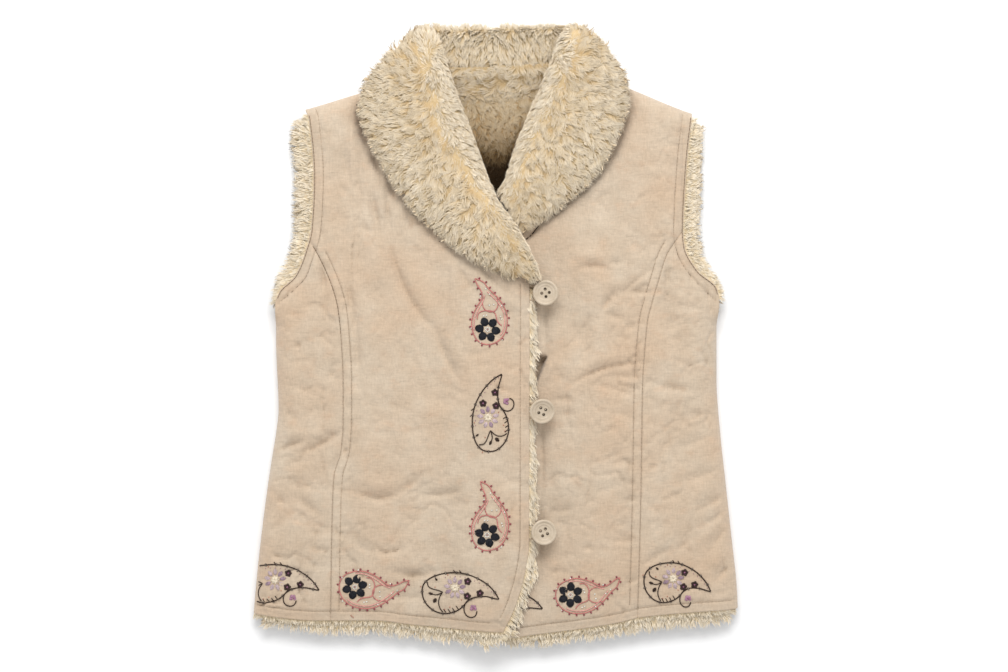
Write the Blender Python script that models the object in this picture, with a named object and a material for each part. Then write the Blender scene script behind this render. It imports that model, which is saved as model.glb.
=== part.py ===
"""Embroidered waistcoat with a deep pile lining and a shawl collar, buttoned and laid flat on its back.

Metres, +Z up, with +Y towards the collar and the front of the garment facing up. The origin is on the surface
that it lies on, under the middle of its outline. Left and right are the wearer's, so the right front is at -X
and laps on top. Lengths in the tables and in the functions are millimetres, which new_mesh turns into metres.
"""

import math

import bmesh
import bpy
import numpy as np
from mathutils import Euler, Vector

MM = 0.001


def table(columns, *rows):
    """A short table as {column name: values}, with a row for each section, point or fold."""
    return dict(zip(columns.split(), np.array(rows, float).T))


# Driving sizes, in millimetres.
CLOTH = 1.6  # wall of the brushed cloth
SEAM_GAP = 0.3  # between pieces that are sewn to each other
PRINCESS_GAP = 0.6
PILE_LOW = 2.1  # underside of the back lining
PILE_MID = 10.3  # top of the back lining, on which the fronts lie
TOP = 22.5  # outer face of a front where it lies flat
SLACK = 4.2  # left free between a front and its lining, for the creases
DEEPEST = 3.0  # of the creases
HIGHEST = 9.0  # of the ridges
SEAM_DIP = 0.9  # of a front along its princess seam
SEAM_DIP_WIDTH = 4.0
PUFF = 4.0  # extra height in the middle of each front
SEAM_LEVEL = 8.7  # height of the side and shoulder seams on the front's side
BACK_CURL = 5.3  # height to which the back rises at those seams
SIDE_ROLL = 22.0  # width over which a front rolls down to the side seam
SHOULDER_ROLL = 18.0
BACK_ROLL = 9.0
LAP = 12.8  # how far the right front is lifted by the left front under it
LAP_CLIMB = 58.0  # width over which it rises to that
LEAF = 16.0  # thickness of the collar's doubled pile leaf
LEAF_GAP = 1.8  # between the leaf and the front under it
STAND = 18.0  # width of the collar's stand leg, from roll to neck seam
NECK_GAP = 2.4  # between that leg and the edge of the front, under the leaf
BACK_NECK_GAP = 0.8
UNDERARM = (8.0, 26.0)  # y between which the closed side seam opens into the armhole

# Outlines of the cloth. Each is x at a height y, or y at a distance x.
RIGHT_SIDE = table(
    "y x",
    (-277, -241.5), (-243, -238.5), (-185, -232), (-124, -223.5), (-93, -218.5), (-73, -216.5), (-3, -219),
    (32, -219), (45, -215), (61, -199), (86, -188.5), (108, -183), (159, -180.5), (219, -185.6), (229, -190),
)
LEFT_SIDE = table(
    "y x",
    (-275, 244), (-253, 243), (-196, 237), (-145, 231.5), (-94, 226), (-43, 222.5), (12, 222.5), (35, 224.5),
    (49, 222), (66, 203), (90, 190), (106, 188.5), (122, 189), (174, 192), (226, 198),
)
RIGHT_PRINCESS = table(
    "y x",
    (-283, -164), (-163, -161.5), (-138, -160), (-113, -153), (-83, -151), (-43, -151), (-3, -153),
    (27, -156),
    (47, -161), (67, -169), (85, -178), (97, -185.5),
)
LEFT_PRINCESS = table(
    "y x",
    (-280, 143), (-163, 146), (-43, 148), (-13, 150), (17, 153), (37, 158), (57, 164), (82, 172), (100, 184),
    (106, 188.5),
)
FRONT_EDGE = table("y x", (-294, 8), (-278, 16), (-263, 22), (-243, 28), (-223, 32), (-203, 34), (50, 34.4))
LAP_EDGE = table("y x", (-298, 5), (80, 4), (95, 6))
RIGHT_HEM = table("x y", (-242, -277), (-179, -283), (-120, -283), (-84, -287), (-36, -291), (9, -294))
LEFT_HEM = table("x y", (5, -302), (50, -296), (82, -292), (125, -285), (146, -280), (184, -276), (244, -272))
BACK_HEM = table("x y", (-242, -274), (-120, -279), (0, -283), (120, -279), (244, -270))
SHOULDERS = table("x y", (-190, 228), (-79, 256), (0, 259), (79, 262), (198, 224))

# Reach of the pile past the cloth: at the armholes, the front edge and the hems.
RIGHT_ARM_PILE = table(
    "y x",
    (26, -213), (38, -221.5), (47, -223), (60, -219), (79, -205.5), (100, -201), (159, -199.5), (212, -203.5),
    (226, -196),
)
LEFT_ARM_PILE = table(
    "y x", (26, 217), (38, 226), (51, 228), (62, 226), (76, 212), (93, 207), (174, 208), (212, 211),
    (222, 204)
)
EDGE_PILE = table("y x", (-312, 18), (-297, 22), (-283, 28), (-262, 33), (-243, 41), (-223, 45),
(-150, 44), (50, 44.5))
RIGHT_HEM_PILE = table(
    "x y", (-244, -288), (-205, -293), (-169, -297), (-106, -299), (-72, -303), (-24, -306), (-4, -314),
    (22, -315)
)
LEFT_HEM_PILE = table("x y", (0, -310), (53, -309), (92, -303), (146, -296), (184, -291), (221, -290),
(246, -283))
BACK_HEM_PILE = table("x y", (-244, -285), (-120, -293), (0, -304), (120, -293), (246, -281))

# Collar leaf: a row for each section, from the roll at the neck to the outer edge, and its thickness share.
RIGHT_COLLAR = table(
    "roll_x roll_y edge_x edge_y thick",
    (46, 59, 40, 56, 0.45), (43, 67, 22, 59, 0.62), (36, 84, -8, 69, 0.85), (26, 103, -33, 84, 1.0),
    (13, 122, -57, 104, 1.0), (0, 142, -79, 125, 1.0), (-12, 174, -104, 159, 1.0), (-23, 203, -123, 194, 1.0),
    (-34, 233, -134, 224, 1.0), (-44, 262, -130, 250, 1.0), (-51, 285, -114, 272, 0.95),
    (-58, 302, -93, 293, 0.8),
    (-66, 310, -79, 307, 0.5),
)
LEFT_COLLAR = table(
    "roll_x roll_y edge_x edge_y thick",
    (3, 144.5, 29, 105.5, 0.85), (13, 163, 56, 122, 0.95), (21, 189, 80, 142, 1.0), (32, 216, 103, 165, 1.0),
    (44, 244, 122, 201, 1.0), (53, 266, 133, 236, 1.0), (60, 285, 128, 262, 1.0), (66, 301, 112, 286, 0.9),
    (74, 311, 93, 306, 0.55),
)
COLLAR_TOP = table(
    "x y", (-124, 258), (-110, 276), (-93, 294), (-76, 309), (-60, 311), (0, 311), (50, 314), (84, 313),
    (100, 303),
    (116, 281), (126, 264),
)

# Folds: from one end to the other, bowed to the left of that line, with the width and height of the crease
# (below 0) or ridge (above 0).
RIGHT_FOLDS = table(
    "x0 y0 x1 y1 bow width height",
    (-104, 97, -62, 10, -4, 8, -2.6), (-92, 100, -48, 16, -4, 11, 2.2), (-55, 22, -34, -46, -2, 8, -2.4),
    (-46, 26, -22, -36, -2, 11, 1.8), (-40, 68, -14, 40, 2, 8, -2.2), (-139, 34, -136, -26, 1, 9, -2.2),
    (-150, 40, -146, -20, 0, 10, 1.6), (-141, -153, -72, -137, -9, 8, -2.8),
    (-140, -165, -70, -152, -10, 12, 2.4),
    (-71, -161, -30, -152, -5, 10, -2.0), (-122, -237, -52, -235, -2, 8, -2.4),
    (-120, -250, -56, -248, -2, 11, 1.8),
    (-160, -196, -92, -212, 4, 10, -2.0), (-123, 142, -117, 116, 0, 8, -1.8),
    (-20, -190, 22, -206, 3, 10, -1.6),
)
RIGHT_SIDE_FOLDS = table(
    "x0 y0 x1 y1 bow width height",
    (-219, -117, -187, -103, 2, 7, -2.8), (-193, -119, -154, -97, -3, 7, -2.8),
    (-205, -128, -170, -112, 0, 10, 2.0),
    (-173, 66, -171, 24, 0, 9, -2.2), (-176, -50, -160, -32, 0, 9, -1.8),
    (-198, -160, -172, -182, 2, 9, -2.0),
    (-208, -214, -168, -214, 4, 9, -2.0),
)
LEFT_FOLDS = table(
    "x0 y0 x1 y1 bow width height",
    (74, 65, 116, 70, 2, 9, -2.4), (76, 78, 120, 84, 2, 12, 1.8), (101, 25, 119, 42, 0, 11, -2.6),
    (128, 44, 152, 46, 0, 7, -2.4), (132, 52, 152, 64, 0, 8, 1.6), (72, -50, 148, -27, 5, 8, -2.8),
    (70, -38, 140, -14, 5, 12, 2.6), (100, -44, 146, -60, -2, 8, -2.4), (106, -58, 146, -70, 0, 11, 2.0),
    (80, 4, 54, -44, 3, 9, -3.0), (88, -4, 62, -54, 3, 12, 3.0), (64, -66, 80, -62, 0, 7, -2.0),
    (100, -173, 134, -163, 0, 10, -2.0), (88, -214, 104, -212, 0, 8, -2.2), (60, -160, 96, -130, 2, 14, 1.8),
    (96, -188, 140, -186, 3, 10, -1.8),
)
LEFT_SIDE_FOLDS = table(
    "x0 y0 x1 y1 bow width height",
    (166, -50, 196, -56, 0, 7, -2.6), (166, -60, 200, -68, 0, 10, 2.0), (168, 46, 170, -4, 0, 10, -2.2),
    (170, -220, 184, -204, 0, 9, -2.0), (219, -200, 230, -178, 0, 8, -1.8),
    (219, -250, 232, -230, 2, 8, -2.2),
    (160, -150, 200, -165, 3, 12, 1.8),
)

# Turned button: radius and height of its profile, from the middle of the back to the middle of the face.
BUTTON = table(
    "r z",
    (0, 0), (7.5, 0), (10.9, 0.9), (12.4, 2.4), (12.75, 3.5), (12.3, 4.6), (11.4, 5.0), (10.3, 4.6),
    (9.6, 3.9),
    (7.6, 3.7), (6.7, 3.1), (0, 2.9),
)
BUTTON_PLACES = table(
    "x y base turn tilt_x tilt_y",
    (51, 44, 34.0, 6, 2, -5), (47, -73, 36.6, 24, 14, 3), (49, -194, 34.0, -22, -2, 3),
)
BUTTON_NAMES = ("top", "middle", "bottom")
BUTTON_SIDES = 24
BUTTON_HOLE = 1.15
BUTTON_HOLE_RING = 3.75
SHANK = 1.9  # radius of the wound thread under a button
SHANK_GAP = 0.75
LOOP_CORD = 1.1  # radius of a button loop's cord
LOOP_LEVEL = 31.7
LOOP_LONG = 20.3
LOOP_HALF = 7.2
LOOP_POINTS = 11

CLOTH_COLOUR = (0.69, 0.55, 0.41)
PILE_COLOUR = (0.72, 0.60, 0.41)
BUTTON_COLOUR = (0.70, 0.60, 0.46)
THREAD_COLOUR = (0.66, 0.54, 0.40)


def smoothstep(share):
    share = np.clip(share, 0, 1)
    return share * share * (3 - 2 * share)


def quarter(share):
    """A quarter of an ellipse: 0 and upright at 0, and 1 and level from 1 on."""
    return np.sqrt(1 - (1 - np.clip(share, 0, 1)) ** 2)


def curve(knots, values, at):
    """A smooth line through a table's points, without overshoot and level past its ends."""
    step = np.diff(knots)
    rise = np.diff(values) / step
    slope = np.concatenate([rise[:1], np.zeros(len(step) - 1), rise[-1:]])
    same = np.flatnonzero(rise[:-1] * rise[1:] > 0)
    slope[same + 1] = 2 * rise[same] * rise[same + 1] / (rise[same] + rise[same + 1])
    at = np.clip(at, knots[0], knots[-1])
    i = np.clip(np.searchsorted(knots, at, side="right") - 1, 0, len(step) - 1)
    t = (at - knots[i]) / step[i]
    return (
        values[i] * (1 + 2 * t) * (1 - t) ** 2
        + slope[i] * step[i] * t * (1 - t) ** 2
        + values[i + 1] * t * t * (3 - 2 * t)
        + slope[i + 1] * step[i] * t * t * (t - 1)
    )


def x_at(*tables):
    """x as a function of y, from tables that follow on from each other."""
    knots = np.concatenate([t["y"] for t in tables])
    values = np.concatenate([t["x"] for t in tables])
    return lambda y: curve(knots, values, y)


def y_at(*tables):
    """y as a function of x."""
    knots = np.concatenate([t["x"] for t in tables])
    values = np.concatenate([t["y"] for t in tables])
    return lambda x: curve(knots, values, x)


def above(bound, low):
    """The rows of a table whose y is over a limit."""
    keep = bound["y"] > low
    return {name: values[keep] for name, values in bound.items()}


def below(bound, high):
    """The rows of a table whose y is under a limit."""
    keep = bound["y"] < high
    return {name: values[keep] for name, values in bound.items()}


def shifted(function, by):
    return lambda value: function(value) + by


def level(height):
    return lambda value: np.full_like(value, height)


def shift_table(bound, by):
    return {"y": bound["y"], "x": bound["x"] + by}


def neck_seam(collar, least_y):
    """A front's edge under the collar, past the end of the stand leg of each section, as a table."""
    width = np.hypot(collar["edge_x"] - collar["roll_x"], collar["edge_y"] - collar["roll_y"])
    share = (stand_of(width) + NECK_GAP) / width
    x = collar["roll_x"] + (collar["edge_x"] - collar["roll_x"]) * share
    y = collar["roll_y"] + (collar["edge_y"] - collar["roll_y"]) * share
    keep = y > least_y
    return {"y": y[keep], "x": x[keep]}


def stand_of(width):
    return STAND * np.minimum(1, width / 45)


def fold_height(folds, x, y):
    """The sum of the creases and ridges of a fold table at a point."""
    total = np.zeros_like(x)
    for x0, y0, x1, y1, bow, width, height in zip(*(folds[name] for name in folds)):
        long = math.hypot(x1 - x0, y1 - y0)
        along = ((x - x0) * (x1 - x0) + (y - y0) * (y1 - y0)) / long
        off = ((y - y0) * (x1 - x0) - (x - x0) * (y1 - y0)) / long
        share = np.clip(along / long, 0, 1)
        off = off - 4 * bow * share * (1 - share)
        past = np.maximum(np.maximum(-along, along - long), 0)
        taper = smoothstep(0.25 + 1.6 * np.minimum(share, 1 - share)) * np.exp(-((past / width) ** 2))
        total += height * taper * np.exp(-((off / width) ** 2))
    return total


side_right = x_at(RIGHT_SIDE)
side_left = x_at(LEFT_SIDE)
shoulder = y_at(SHOULDERS)
right_hem = y_at(RIGHT_HEM)
left_hem = y_at(LEFT_HEM)
back_hem = y_at(BACK_HEM)
princess_right = x_at(RIGHT_PRINCESS)
princess_left = x_at(LEFT_PRINCESS)
right_front_edge = x_at(FRONT_EDGE, neck_seam(RIGHT_COLLAR, 60))
left_front_edge = x_at(LAP_EDGE, neck_seam(LEFT_COLLAR, 100))
# The left front's edge, extended over the neck, is what the right front climbs.
lap_line = x_at(table("y x", (-298, 5), (80, 4), (111, 14), (141, 26), (190, 60)))
# The leaves' outer edges, past which the fronts may crease. Below a leaf its line swings clear of the front.
right_leaf_line = x_at(
    table("y x", (10, 160), (48, 60), (69, -8), (104, -57), (159, -104), (224, -134), (260, -134))
)
left_leaf_line = x_at(
    table("y x", (60, -90), (100, 20), (125, 56), (165, 103), (201, 122), (236, 133), (262, 133))
)


def opening_share(y):
    """0 where the side is a closed seam, and 1 where it is an armhole."""
    return smoothstep((y - UNDERARM[0]) / (UNDERARM[1] - UNDERARM[0]))


def lap_lift(x, y):
    """How far the right front and its collar are lifted by the left front."""
    return LAP * smoothstep((x - lap_line(y) + LAP_CLIMB + 12) / LAP_CLIMB)


def rolled(height, inside, y, to_shoulder, to_hem, to_edge):
    """A front's height, brought down at its side and shoulder seams and its open edges."""
    seam = quarter(inside / SIDE_ROLL)
    armhole = 1 - 0.17 * (1 - smoothstep(inside / 13))
    share = seam + (armhole - seam) * opening_share(y)
    share = share * quarter(to_shoulder / SHOULDER_ROLL)
    share = share * (1 - 0.14 * (1 - smoothstep(to_hem / 14)))
    share = share * (1 - 0.09 * (1 - smoothstep(to_edge / 9)))
    return SEAM_LEVEL + (height - SEAM_LEVEL) * share


def right_form(x, y):
    """Outer face of the right front without its folds, and how free it is to fold there."""
    inside = x - side_right(y)
    to_hem = y - right_hem(x)
    to_shoulder = shoulder(x) - y
    to_edge = right_front_edge(y) - x + 60 * smoothstep((y - 66) / 12)
    free = smoothstep((right_leaf_line(y) - x) / 32)
    puff = PUFF * free * smoothstep(inside / 75) * smoothstep(to_hem / 80) * smoothstep((40 - x) / 80)
    height = rolled(TOP + puff + lap_lift(x, y), inside, y, to_shoulder, to_hem, to_edge)
    return height, free * smoothstep(inside / 16) * smoothstep(to_hem / 16) * smoothstep(to_shoulder / 24)


def left_form(x, y):
    """Outer face of the left front without its folds, and how free it is to fold there."""
    inside = side_left(y) - x
    to_hem = y - left_hem(x)
    to_shoulder = shoulder(x) - y
    clear = smoothstep((x - 47) / 16)
    free = smoothstep((x - left_leaf_line(y)) / 32) * clear
    puff = PUFF * free * smoothstep(inside / 75) * smoothstep(to_hem / 80) * smoothstep((x - 45) / 60)
    height = rolled(TOP + puff, inside, y, to_shoulder, to_hem, 60)
    return height, free * smoothstep(inside / 16) * smoothstep(to_hem / 16) * smoothstep(to_shoulder / 24)


def front_face(form, folds, princess, x, y):
    """Outer face of a front, with its folds and the groove of its princess seam."""
    height, free = form(x, y)
    seam = np.exp(-(((x - princess(y)) / SEAM_DIP_WIDTH) ** 2))
    folded = np.clip(fold_height(folds, x, y) * (1 - seam), -DEEPEST, HIGHEST)
    return height + (folded - SEAM_DIP * seam) * free


def back_face(x, y):
    """Outer face of the back, which lies on the surface and rises at the side and shoulder seams."""
    inside = np.minimum(x - side_right(y), side_left(y) - x)
    closed = (1 - opening_share(y)) * (1 - quarter(inside / BACK_ROLL))
    neck = smoothstep((np.abs(x) - 78) / 12)
    top = neck * (1 - quarter((shoulder(x) - y) / BACK_ROLL))
    return BACK_CURL * np.maximum(closed, top)


def plan(west, east, south, north, across, up):
    """x and y of a piece's grid, between west and east edges (x at y) and south and north ones (y at x)."""
    s, t = np.meshgrid(across, up)
    y = south(np.zeros_like(s)) * (1 - t) + north(np.zeros_like(s)) * t
    for _ in range(30):
        x = west(y) * (1 - s) + east(y) * s
        y = south(x) * (1 - t) + north(x) * t
    return x, y


def graded(start, even, end):
    """Shares from 0 to 1: given ones near the start and near the end, and an even count of them between."""
    between = np.linspace(start[-1], end[0], even + 1)
    return np.concatenate([start[:-1], between, end[1:]])


def grid_faces(rows, columns, first=0, turned=False):
    """Quads of a grid of (rows + 1) by (columns + 1) points."""
    faces = []
    for r in range(rows):
        for c in range(columns):
            a = first + r * (columns + 1) + c
            quad = (a, a + 1, a + columns + 2, a + columns + 1)
            faces.append(quad[::-1] if turned else quad)
    return faces


def rim_of(rows, columns):
    """The grid's edge points, in order all round."""
    wide = columns + 1
    south = [c for c in range(columns)]
    east = [r * wide + columns for r in range(rows)]
    north = [rows * wide + c for c in range(columns, 0, -1)]
    west = [r * wide for r in range(rows, 0, -1)]
    return south + east + north + west


def material(name, colour, roughness):
    made = bpy.data.materials.new(name)
    made.use_nodes = True
    shader = made.node_tree.nodes["Principled BSDF"]
    shader.inputs["Base Color"].default_value = (*colour, 1)
    shader.inputs["Roughness"].default_value = roughness
    shader.inputs["Metallic"].default_value = 0.0
    return made


def new_mesh(name, points, faces, finish):
    """A smooth-shaded object from points in millimetres."""
    mesh = bpy.data.meshes.new(name)
    mesh.from_pydata([tuple(p) for p in np.asarray(points, float) * MM], [], faces)
    mesh.materials.append(finish)
    mesh.shade_smooth()
    made = bpy.data.objects.new(name, mesh)
    bpy.context.scene.collection.objects.link(made)
    return made


def cloth_wall(name, x, y, z, finish, facing_down=False):
    """A cloth piece: its outer face as a grid, thickened inwards."""
    rows, columns = x.shape[0] - 1, x.shape[1] - 1
    points = np.stack([x, y, z], axis=-1).reshape(-1, 3)
    made = new_mesh(name, points, grid_faces(rows, columns, turned=facing_down), finish)
    wall = made.modifiers.new("wall", "SOLIDIFY")
    wall.thickness = CLOTH * MM
    wall.offset = -1
    wall.use_rim = True
    return made


def pile_slab(name, core, rim, low, high, bulge, finish):
    """A lining: a slab between two faces, with its pile's edge rounded out to the rim."""
    (core_x, core_y), (rim_x, rim_y) = core, rim
    rows, columns = core_x.shape[0] - 1, core_x.shape[1] - 1
    upper = np.stack([core_x, core_y, high(core_x, core_y)], axis=-1).reshape(-1, 3)
    lower = np.stack([core_x, core_y, low(core_x, core_y)], axis=-1).reshape(-1, 3)
    around = rim_of(rows, columns)
    reach = np.hypot(rim_x - core_x, rim_y - core_y).ravel()[around]
    outside = smoothstep((reach - 4) / 6) * bulge
    tip_x, tip_y = rim_x.ravel()[around], rim_y.ravel()[around]
    top, bottom = upper[around], lower[around]
    middle = (top[:, 2] + bottom[:, 2] + outside) / 2
    rings = []
    for share, z in (
        (0.25, top[:, 2] + outside),
        (0.8, top[:, 2] + 0.5 * outside - 1),
        (1.0, middle),
        (0.8, bottom[:, 2] + 0.8),
    ):
        ring_x = top[:, 0] + (tip_x - top[:, 0]) * share
        ring_y = top[:, 1] + (tip_y - top[:, 1]) * share
        rings.append(np.stack([ring_x, ring_y, z], axis=-1))
    points = np.concatenate([upper, lower, *rings])
    faces = grid_faces(rows, columns) + grid_faces(rows, columns, first=len(upper), turned=True)
    count = len(around)
    loops = [np.array(around)]
    loops += [2 * len(upper) + k * count + np.arange(count) for k in range(len(rings))]
    loops += [np.array(around) + len(upper)]
    for inner, outer in zip(loops, loops[1:]):
        for i in range(count):
            j = (i + 1) % count
            faces.append((int(inner[i]), int(outer[i]), int(outer[j]), int(inner[j])))
    return new_mesh(name, points, faces, finish)


def loft(name, rings, finish):
    """A closed solid through rings of equally many points, with both ends capped."""
    count = len(rings[0])
    faces = []
    for k in range(len(rings) - 1):
        for i in range(count):
            j = (i + 1) % count
            faces.append((k * count + i, k * count + j, (k + 1) * count + j, (k + 1) * count + i))
    faces.append(tuple(range(count))[::-1])
    faces.append(tuple(range((len(rings) - 1) * count, len(rings) * count)))
    made = new_mesh(name, np.concatenate(rings), faces, finish)
    shape = bmesh.new()
    shape.from_mesh(made.data)
    bmesh.ops.recalc_face_normals(shape, faces=shape.faces)
    shape.to_mesh(made.data)
    shape.free()
    return made


def leaf_ring(roll, edge, thick, lift):
    """One section of the collar: the stand leg below, the roll at the neck, and the leaf folded over it."""
    width = math.hypot(edge[0] - roll[0], edge[1] - roll[1])
    scale = min(1, width / 45)
    stand = float(stand_of(width))
    # Distance from the roll, the two levels that the height lies between, and its share of the way up.
    outline = (
        (stand, "leg_low", "top", 0), (9 * scale, "leg_low", "top", 0), (3 * scale, "leg_low", "top", 0.06),
        (0.5 * scale, "leg_low", "top", 0.25), (0, "leg_low", "top", 0.5),
        (1.5 * scale, "leg_low", "top", 0.76),
        (6 * scale, "leg_low", "top", 0.94), (15 * scale, "under", "top", 1.0),
        (0.45 * width, "under", "top", 1.04),
        (0.68 * width, "under", "top", 0.96), (0.84 * width, "under", "top", 0.82),
        (0.95 * width, "under", "top", 0.62),
        (width, "under", "top", 0.32), (0.975 * width, "under", "top", 0.07),
        (0.9 * width, "under", "top", 0),
        (0.7 * width, "under", "top", 0), (0.52 * width, "under", "top", 0),
        (0.38 * width, "under", "top", 0),
        (1.06 * stand, "under", "top", 0), (12 * scale, "under", "top", 0),
        (10.5 * scale, "leg_top", "under", 0.5), (12 * scale, "leg_top", "under", 0),
        (stand, "leg_top", "under", 0),
    )
    ring = []
    for distance, lower, upper, share in outline:
        x = roll[0] + (edge[0] - roll[0]) * distance / width
        y = roll[1] + (edge[1] - roll[1]) * distance / width
        raised = float(lift(np.array(x), np.array(y)))
        leg_low = PILE_MID + 0.5 + raised + 12.2 * float(smoothstep((y - 240) / 16))
        leg_top = max(TOP - 0.2 + raised, leg_low + 2.2)
        level = {"leg_low": leg_low, "leg_top": leg_top, "under": leg_top + LEAF_GAP}
        level["top"] = level["under"] + LEAF * thick
        ring.append((x, y, level[lower] + (level[upper] - level[lower]) * share))
    return np.array(ring)


def collar_leaf(name, rows, lift, stations, finish):
    """A front collar leaf, lofted through sections spaced evenly between the rows of its table."""
    knots = np.arange(len(rows["thick"]), dtype=float)
    rings = []
    for at in np.linspace(0, knots[-1], stations):
        section = {column: float(curve(knots, values, np.array(at))) for column, values in rows.items()}
        roll = (section["roll_x"], section["roll_y"])
        edge = (section["edge_x"], section["edge_y"])
        rings.append(leaf_ring(roll, edge, section["thick"], lift))
    return loft(name, rings, finish)


def collar_back(stations, finish):
    """The collar behind the neck: the stand rises from the seam, rolls at the top and folds back under."""
    top = y_at(COLLAR_TOP)
    rings = []
    for x in np.linspace(COLLAR_TOP["x"][0], COLLAR_TOP["x"][-1], stations):
        start = float(shoulder(x)) + BACK_NECK_GAP
        long = float(top(x)) - start
        s = min(1, long / 45)
        outline = (
            (0, 0.6), (0, PILE_MID), (4 * s, 14), (12 * s, 20), (20 * s, 21.6), (0.62 * long, 22),
            (long - 10 * s, 21.6),
            (long - 3 * s, 18.5), (long, 11), (long - 3 * s, 3.5), (long - 10 * s, 0), (0.5 * long, 0),
            (9 * s, 0),
            (6.8 * s, 3), (7.6 * s, 8.5), (12 * s, 10.2), (long - 14 * s, 10.2), (long - 12 * s, 10.7),
            (long - 14 * s, 11.2), (14 * s, 11.2), (7 * s, 11), (3.5 * s, 6),
        )
        rings.append(np.array([(x, start + along, z) for along, z in outline]))
    return loft("collar_back", rings, finish)


FRONT_ACROSS = np.linspace(0, 1, 13)
FRONT_UP = graded((0, 0.015), 30, (0.955, 0.972, 0.986, 0.995, 1))
SIDE_ACROSS = np.array([0, 0.03, 0.09, 0.18, 0.3, 0.5, 0.75, 1])
SIDE_UP = graded((0, 0.02), 24, (1,))
LINING_UP = graded((0,), 20, (0.93, 0.965, 1))


def build_back(cloth, pile):
    across = graded((0, 0.005, 0.012, 0.024), 6, (0.976, 0.988, 0.995, 1))
    up = graded((0,), 20, (0.97, 0.98, 0.992, 1))
    x, y = plan(side_right, side_left, back_hem, shoulder, across, up)
    cloth_wall("back_panel", x, y, back_face(x, y), cloth, facing_down=True)
    inset_west = x_at(
        table("y x", (-277, -232.5), (-185, -223), (-93, -209.5), (-73, -207.5), (-3, -210), (20, -210)),
        above({"y": RIGHT_SIDE["y"], "x": RIGHT_SIDE["x"] + 1}, 33),
    )
    inset_east = x_at(
        table("y x", (-275, 235), (-196, 228), (-94, 217), (-43, 213.5), (20, 214)),
        above({"y": LEFT_SIDE["y"], "x": LEFT_SIDE["x"] - 1}, 36),
    )
    rim_west = x_at(
        table("y x", (-277, -235.5), (-185, -226), (-93, -212.5), (-73, -210.5), (-3, -213),
        (20, -213)), RIGHT_ARM_PILE
    )
    rim_east = x_at(table("y x", (-275, 238), (-196, 231), (-94, 220), (-43, 216.5),
    (20, 217)), LEFT_ARM_PILE)
    across, up = np.linspace(0, 1, 9), np.linspace(0, 1, 23)
    core = plan(inset_west, inset_east, shifted(back_hem, 1), shifted(shoulder, -12), across, up)
    rim = plan(rim_west, rim_east, y_at(BACK_HEM_PILE), shifted(shoulder, -10), across, up)
    pile_slab(
        "back_lining",
        core,
        rim,
        lambda x, y: level(PILE_LOW)(x),
        lambda x, y: level(PILE_MID)(x),
        0.0,
        pile,
    )


def build_right_front(cloth, pile):
    folds = {name: np.append(RIGHT_FOLDS[name], RIGHT_SIDE_FOLDS[name]) for name in RIGHT_FOLDS}
    gap = PRINCESS_GAP / 2
    armhole = above(RIGHT_SIDE, 98)
    west = x_at({"y": RIGHT_PRINCESS["y"], "x": RIGHT_PRINCESS["x"] + gap}, armhole)
    x, y = plan(west, right_front_edge, right_hem, shoulder, FRONT_ACROSS, FRONT_UP)
    cloth_wall("right_front_centre", x, y, front_face(right_form, folds, princess_right, x, y), cloth)
    # The seam opens a little where it runs into the rolled armhole.
    east = lambda y: princess_right(y) - gap - gap * smoothstep((y - 60) / 25)
    x, y = plan(side_right, east, right_hem, level(90), SIDE_ACROSS, SIDE_UP)
    cloth_wall("right_front_side", x, y, front_face(right_form, folds, princess_right, x, y), cloth)
    inset_west = x_at(
        table("y x", (-277, -232.5), (-185, -223), (-93, -209.5), (-73, -207.5), (-3, -210), (20, -210)),
        above({"y": RIGHT_SIDE["y"], "x": RIGHT_SIDE["x"] + 1}, 33),
    )
    rim_west = x_at(
        table("y x", (-277, -235.5), (-185, -226), (-93, -212.5), (-73, -210.5), (-3, -213),
        (20, -213)), RIGHT_ARM_PILE
    )
    neck = neck_seam(RIGHT_COLLAR, 60)
    rim_east = x_at(EDGE_PILE, shift_table(neck, -1.5))
    inset_east = x_at(shift_table(below(FRONT_EDGE, 60), -1), shift_table(neck, -3))
    across = graded((0,), 6, (0.66, 0.71, 0.76, 0.81, 0.86, 0.91, 0.96, 1))
    core = plan(inset_west, inset_east, shifted(right_hem, 1), shifted(shoulder, -11), across, LINING_UP)
    rim = plan(rim_west, rim_east, y_at(RIGHT_HEM_PILE), shifted(shoulder, -9), across, LINING_UP)
    pile_slab(
        "right_front_lining",
        core,
        rim,
        lambda x, y: PILE_MID + SEAM_GAP + lap_lift(x, y),
        lambda x, y: right_form(x, y)[0] - CLOTH - SLACK,
        2.6,
        pile,
    )


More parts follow.
